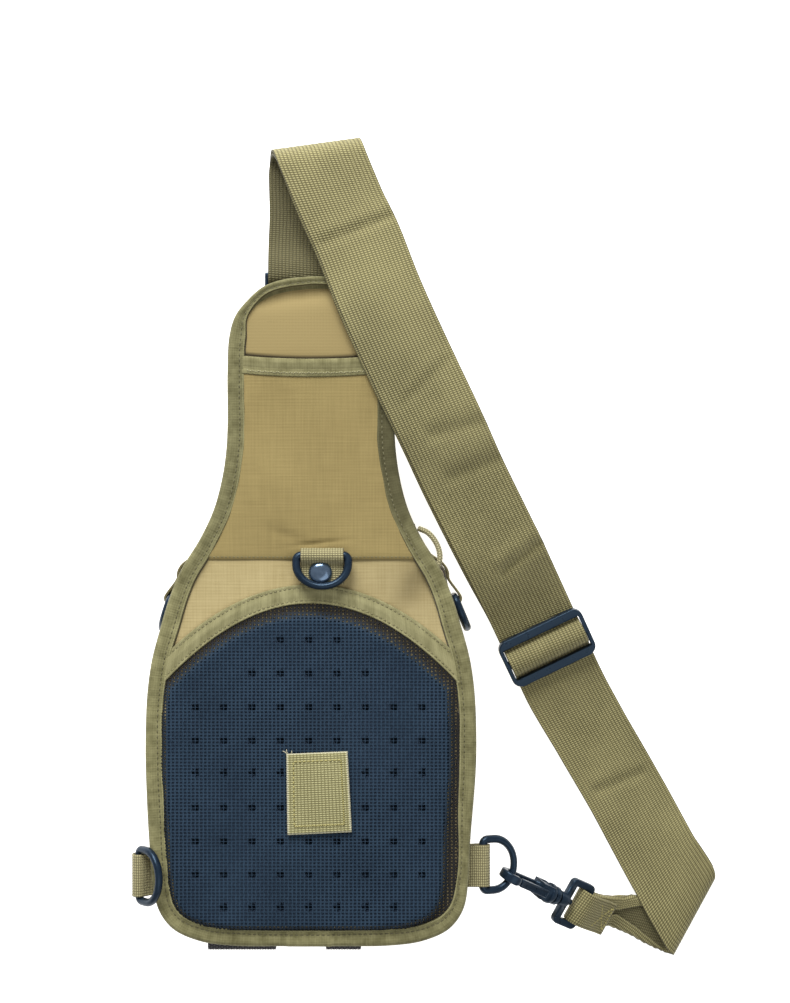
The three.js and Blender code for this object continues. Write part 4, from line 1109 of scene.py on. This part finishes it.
# Base tabs: two folded ends of dark grey webbing that show under the lower binding.
# They are sewn into the seam there, the wide one at the left.
black_webbing = webbing_finish(
    "black_webbing", (0.02, 0.02, 0.022), (0.12, 0.115, 0.125), 0.00154, 0.0014, 0.5
)
path = [(6, 65.2), (1, 65.2), (-3.4, 65.2)]
path += [(-3.4 + 0.9 * x, 66.1 + 0.9 * y) for x, y in turns(250, 110, 5)]
path += [(-3.4, 67), (1, 67), (6, 67)]
for name, left, right in (("base_tab_wide", -61, -21), ("base_tab_narrow", 8.5, 29)):
    folded = [((left + right) / 2, v, z) for v, z in path]
    base = ribbon(f"{name}_webbing", folded, (1, 0, 0), right - left, TAB_THICK, 0.7)
    fit(base, "bag", "black_webbing", black_webbing, name)

# Top ring and its tab: a flat moulded loop held to the neck's top by a band of the wide webbing.
# The strap turns round the loop's upper bar.
LOOP_AT = in_frame([(-0.3, 387.2, 64)])[0]


def block(place, size):
    return start("cube", scale=size, size=1, location=place)


def pierced(piece, name, windows, bevel):
    """Cuts windows, each a place and a size, through a block that is open for editing; rounds its edges."""
    done(piece, name)
    for place, size in windows:
        carve(piece, done(block(place, size), "window"))
    bpy.context.view_layer.objects.active = piece
    bpy.ops.object.mode_set(mode="EDIT")
    return done(piece, name, bevel)


loop = block(LOOP_AT, (0.0548, 0.014, 0.004))
pierced(loop, "top_ring_moulded", ((LOOP_AT, (0.0508, 0.006, 0.01)),), 0.0011)
fit(loop, "bag", "dark_plastic", moulded, "top_ring")
path = [(374.6, 63.05), (377.2, 63.05), (379, 61.7)]
path += [(382.6 + 4.2 * x, 64 + 4.0 * y) for x, y in turns(-125, 125, 12)]
path += [(379, 66.3), (377.2, 64.95), (374.6, 64.95)]
top_tab = ribbon("top_tab_webbing", [(-1.8, v, z) for v, z in path], (1, 0, 0), 48, TAB_THICK, 1.0, 2)
fit(top_tab, "bag", "webbing", webbing, "top_tab")

# Swivel snap hook: moulded nylon, a hooked body with a sprung gate, a collar, and a square eye that turns on
# a pin. It is drawn flat with its length along x, then set on the right ring.
HOOK_AT, HOOK_HEADING, HOOK_SLOPE = (118.6, 36.2, 58.4), -28.95, 30
HOOK_BEND = 0.00595  # radius of the hook's bend, in metres
EYE_AT = (0.051, 0, 0)
(hook_east, hook_north), (hook_flat, hook_fall) = heading(HOOK_HEADING), heading(HOOK_SLOPE)
hook_x = (hook_east * hook_flat, hook_north * hook_flat, -hook_fall)
hook_y = (-hook_north, hook_east, 0)


def barrel(near, far, radius):
    """A round length of the hook's shank, open for editing."""
    middle = ((near + far) / 2, 0, 0)
    return start(
        "cylinder", vertices=32, radius=radius, depth=far - near,
        location=middle, rotation=(0, math.pi / 2, 0),
    )


hook = start(
    "plane", size=1, location=(0.003, 0, HOOK_BEND), rotation=(0, -math.pi / 2, 0), scale=(1, 0.0036, 0.0024)
)
extrude(-0.003, 0, 0)
bpy.ops.transform.resize(value=(1, 1.5, 1.45), center_override=(0, 0, HOOK_BEND))
bpy.ops.mesh.spin(steps=16, angle=math.pi, center=(0, 0, 0), axis=(0, 1, 0))
for far, tall_by, wide_by in ((0.008, 0.95, 0.95), (0.0125, 1.0, 1.05), (0.004, 1.15, 1.15)):
    extrude(far, 0, 0)
    bpy.ops.transform.resize(value=(1, wide_by, tall_by), center_override=(0, 0, -HOOK_BEND))
done(hook, "snap_hook_moulded", 0.0009)
collar = block((0.0265, 0, -0.0017), (0.009, 0.0098, 0.0124))
select_where(collar, lambda middle, normal: abs(normal.y) > 0.9)
bpy.ops.mesh.inset(thickness=0.0016)
bpy.ops.mesh.extrude_region_shrink_fatten(TRANSFORM_OT_shrink_fatten={"value": -0.0008})
carve(hook, done(collar, "collar", 0.0007), "UNION")
for near, far, radius, bevel in (
    (0.0295, 0.0318, 0.0062, 0.0004), (0.0318, 0.0338, 0.0047, 0.0004), (0.0338, 0.0362, 0.0056, 0.0004),
    (0.0362, 0.0482, 0.0019, 0.0),
):
    carve(hook, done(barrel(near - 0.0003, far + 0.0003, radius), "barrel", bevel), "UNION")

gate = block((0.01425, 0, 0.0054), (0.0215, 0.0048, 0.003))
select_where(gate, lambda middle, normal: normal.z > 0.9)
bpy.ops.mesh.inset(thickness=0.001)
extrude(0, 0, -0.0009)
done(gate, "snap_hook_gate_moulded", 0.0005)


def round_corners(piece, radius):
    """Rounds the upright edges of a flat block that is open for editing."""
    bpy.ops.mesh.select_mode(type="EDGE")
    bpy.ops.mesh.select_all(action="DESELECT")
    shape = bmesh.from_edit_mesh(piece.data)
    for edge in shape.edges:
        edge.select = abs((edge.verts[0].co - edge.verts[1].co).normalized().z) > 0.9
    bmesh.update_edit_mesh(piece.data)
    bpy.ops.mesh.bevel(offset=radius, segments=6, affect="EDGES")


eye = block(EYE_AT, (0.0183, 0.03, 0.0043))
round_corners(eye, 0.0034)
pierced(eye, "swivel_eye_moulded", ((EYE_AT, (0.0097, 0.0214, 0.01)),), 0.0012)
carve(eye, done(barrel(0.0387, 0.0449, 0.0044), "boss", 0.0004), "UNION")
for piece, body, node in (
    (hook, "bag", "snap_hook_body"), (gate, "hook_gate", "snap_hook_gate"), (eye, "bag", "swivel_eye")
):
    set_in(piece.data, HOOK_AT, hook_x, hook_y)
    fit(piece, body, "dark_plastic", moulded, node)

# Strap slider: a frame with a middle bar, moulded in the same nylon with rounded corners.
# The doubled strap is threaded through it and locks there at its length.
SLIDER_AT, SLIDER_TURN, SLIDER_SLOPE = (142.4, 169.4, 22), 25.7, 18
SLIDER_WINDOW = (0.0508, 0.00865, 0.01)
(slide_east, slide_north), (slide_flat, slide_fall) = heading(SLIDER_TURN), heading(SLIDER_SLOPE)
slide_x = (slide_east, slide_north, 0)
slide_down = (slide_north * slide_flat, -slide_east * slide_flat, -slide_fall)
slider = block((0, 0, 0), (0.056, 0.0325, 0.004))
round_corners(slider, 0.0062)
windows = [((0, y, 0), SLIDER_WINDOW) for y in (0.006325, -0.006325)]
pierced(slider, "strap_slider_moulded", windows, 0.0015)
set_in(slider.data, SLIDER_AT, slide_x, [-k for k in slide_down])
fit(slider, "bag", "dark_plastic", moulded, "strap_slider")

# Strap: one length of 50 mm ribbed webbing. It is folded narrow and sewn round the swivel eye, folds over at
# the right, climbs through the slider, turns over at the top, passes the top ring and comes back doubled to
# the slider. Handling has left a few creases across it.
STRAP_WIDE, STRAP_THICK, TAIL_WIDE = 50.0, 1.5, 20.6
RUN_UP = (  # place and turn, from the slider to the top
    (114, 227, 47, 25.7), (90, 273.7, 64.5, 25.4), (79.2, 296.5, 73.8, 25), (71.2, 313, 79.2, 24.6),
    (61.3, 333.5, 81.3, 24), (41, 378, 81.6, 23), (27.8, 411.4, 81.9, 20), (17.4, 433.8, 82, 14),
)
TOP_FOLD, TOP_TURN, TOP_WIDES = (3.6, 457.5, 71.6), 7.8, (51.6, 51.6)
THREADED = (  # along the slider and up from it
    (32, -3.4), (11, -3.3), (9, -2), (5, 3.8), (2, 5.6),
    (-2, 5.6), (-5, 3.8), (-9, -2), (-11, -3.3), (-30, -3.3),
)
CREASES = (  # two ends, the least height it works on, depth and softness
    ((4, 408), (50, 426), 77, 1.5, 1), ((51.4, 313.8), (82.6, 343.5), 74, 0.8, 1),
    ((67.8, 297.5), (102, 306.4), 60, 1.3, 1.6), ((78.5, 272.3), (114.5, 285.9), 50, 1.7, 1.8),
    ((112, 215.4), (138, 236), 20, 2.3, 1.2), ((172, 77.4), (206, 91.2), 0, 1.5, 1.2),
)
hook_z = np.cross(hook_x, hook_y)
slide_up = np.cross(slide_down, slide_x)


def from_hook(x, y, z):
    return np.array(HOOK_AT) + np.array(hook_x) * x + np.array(hook_y) * y + hook_z * z


def on_hook(x, z, wide=TAIL_WIDE):
    return (*from_hook(x, 0, z), 90 + HOOK_HEADING, wide, 1.0)


def on_slider(s, n):
    return (*(np.array(SLIDER_AT) + np.array(slide_down) * s + slide_up * n), SLIDER_TURN, STRAP_WIDE, 0.0)


def fold_over(place, turn, radius, first, last, count, wides, skew):
    """Stations round a fold about a line across the strap, along which a slanting strap slides by skew."""
    x, y = heading(turn)
    rows = []
    for k, (flat, rise) in enumerate(turns(first, last, count + 1)):
        out, slide = radius * flat, skew * (1 - 2 * k / count)
        u, v = place[0] - y * out + x * slide, place[1] + x * out + y * slide
        rows.append((u, v, place[2] + radius * rise, turn, wides[0] + (wides[1] - wides[0]) * k / count, 0.0))
    return rows


# Each station is a place, the turn of the strap's width in degrees, its width, and how far its edges are
# folded in.
stations = [on_hook(80, 1.6), on_hook(74, 1.9), on_hook(67, 3.8)]
stations += [on_hook(58 + 5.1 * x, 5.1 * y) for x, y in turns(90, 270, 9)]
stations += [on_hook(66, -4.4), on_hook(73, -3.6, 22)]
stations += [(186.5, 4.8, 9.5, 61, 20.6, 0.9), (202.8, 1.2, 4.6, 61, 28, 0.75)]
stations += [(214.5, -1.6, 2.8, 61, 35, 0.5)]
stations += fold_over((229.8, 2.6, 7), 61.5, -5, 90, -90, 8, (46, 59), -5)
stations += [(217.2, 32.5, 8, 46, 51, 0), (192.3, 78.4, 4.2, 33.5, 48.6, 0), (170.7, 115.5, 7.5, 29, 48.6, 0)]
stations += [on_slider(s, n) for s, n in THREADED]
stations += [(*p, STRAP_WIDE, 0.0) for p in RUN_UP]
stations += fold_over(TOP_FOLD, TOP_TURN, 10.5, 90, -90, 9, TOP_WIDES, 3.5)
stations += [(0, 430, 60.6, 2, 50, 0), (-0.6, 406.3, 60, 0, 50, 0)]
stations += [(-0.6, 392 + 4.2 * x, 64 + 4 * y, 0, 50, 0) for x, y in turns(270, 90, 9)]
stations += [(-0.6, 400.3, 67.4, 0, 50, 0), (-0.6, 410.3, 64.2, 0, 50, 0), (0, 430, 62.9, 2, 50, 0)]
stations += fold_over(TOP_FOLD, TOP_TURN, 8.3, -90, 90, 9, TOP_WIDES, -3.5)
for u, v, z, turn in reversed(RUN_UP):
    x, y = heading(turn)
    stations.append((u - 1.3 * x, v - 1.3 * y, z - 2.15, turn, STRAP_WIDE, 0.0))
stations += [on_slider(-30, -5.45), on_slider(-11, -5.45), on_slider(-4, -3.6)]
stations += [on_slider(4.1 * x, 3.6 * y) for x, y in turns(270, 450, 9)]
stations += [on_slider(-2.4, 3.4)]
stations = np.array(stations, float)
knots = lengths(stations[:, :3])
line = smooth_line(stations[:, :3], 2.6)
far = lengths(line)
turn, wide, folded = (np.interp(far * knots[-1] / far[-1], knots, stations[:, k]) for k in (3, 4, 5))
side = np.column_stack([np.cos(np.radians(turn)), np.sin(np.radians(turn)), np.zeros(len(turn))])
up = np.cross(np.gradient(line, axis=0), side)
up /= np.linalg.norm(up, axis=1)[:, None]
count = 49
across = np.linspace(-1, 1, count)
wave = np.where(np.arange(count) % 2 == 0, -0.05, 0.05)
grid = np.empty((len(line), count, 3))
shade = np.zeros((len(line), count))
tail_end = int(np.argmin(np.linalg.norm(line - (229.3, 1.5, 2), axis=1)))
for k in range(len(line)):
    half = wide[k] / 2
    if folded[k] > 0:
        flat = np.abs(across) * min(25 - 6.5 * folded[k], 2 * half - 0.6)
        over = np.clip(flat - half, 0, None)
        out = np.where(over > 0, half - over, flat) * np.sign(across)
        lift = np.clip(over / 1.6, 0, 1)
        rise = (-0.85 + 1.9 * lift) * folded[k] + 0.4 * np.sin(np.pi * lift) * folded[k]
    else:
        out, rise = across * half, np.zeros(count)
    grid[k] = line[k] + out[:, None] * side[k] + (rise + wave)[:, None] * up[k]
    # Painted shade in the hollow of the folded tail.
    if k < tail_end and line[k][0] > 184:
        shade[k] = 0.55 * (rise <= 0)
for first, last, floor_z, sink, soft in CREASES:
    way = np.subtract(last, first)
    long = np.linalg.norm(way)
    off = grid[..., :2] - first
    along = (off @ way) / long**2
    beside = (off[..., 1] * way[0] - off[..., 0] * way[1]) / long / soft
    near = bell(np.clip(np.abs(along - 0.5) - 0.4, 0, None), 0.1) * (grid[..., 2] > floor_z)
    grid[..., 2] += near * sink * (0.5 * bell(beside - 6, 4) - bell(beside, 2.2))
strap = cloth("strap_webbing", grid, 25 * across, far)
# Painted shade on the lower layers inside the strap's top turn.
inner_turn_shade = 0.66 * np.clip((76 - grid[..., 2]) / 8, 0, 1) * (grid[..., 1] > 385)
paint(strap, "shade", np.maximum(shade, inner_turn_shade))
thicken(strap, STRAP_THICK)
fit(strap, "bag", "webbing", webbing, "strap")
for k, (a, b) in enumerate((((67.5, -7.5), (78, 7.5)), ((67.5, 7.5), (78, -7.5)), ((78.4, -8), (78.4, 8)))):
    path = []
    for x, y in np.linspace(a, b, 12):
        path.append(from_hook(x, y, np.interp(x, (67, 74, 80), (3.8, 1.9, 1.6)) + 1.8))
    stitches(f"strap_end_stitches_{k + 1}", path, 2.4, 0.42, "webbing", yellow_thread)

# Zip pull: a slider on the coil beside the neck's foot, with a short loop of braided cord.
# The cord bows out and tucks in again under the binding.
low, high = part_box("zip_slider")
pull = block((low + high) / 2, tuple((high - low) * 0.7))
done(pull, "zip_slider_body", 0.0009)
fit(pull, "bag", "dark_plastic", moulded, "zip_slider")
cord_path = smooth_line(
    [(63.2, 243, 57), (69, 240.2, 60), (74, 233.4, 62.5), (75.6, 226, 65), (73.2, 217.3, 66.4)], 0.8
)
cord = tube("zip_pull_braid", cord_path, 1.6, 14)
braid = webbing_finish("olive_braid", (0.14, 0.125, 0.06), (0.47, 0.43, 0.25), 0.0017, 0.0016, 0.5)
fit(cord, "bag", "cord", braid, "zip_pull_cord")
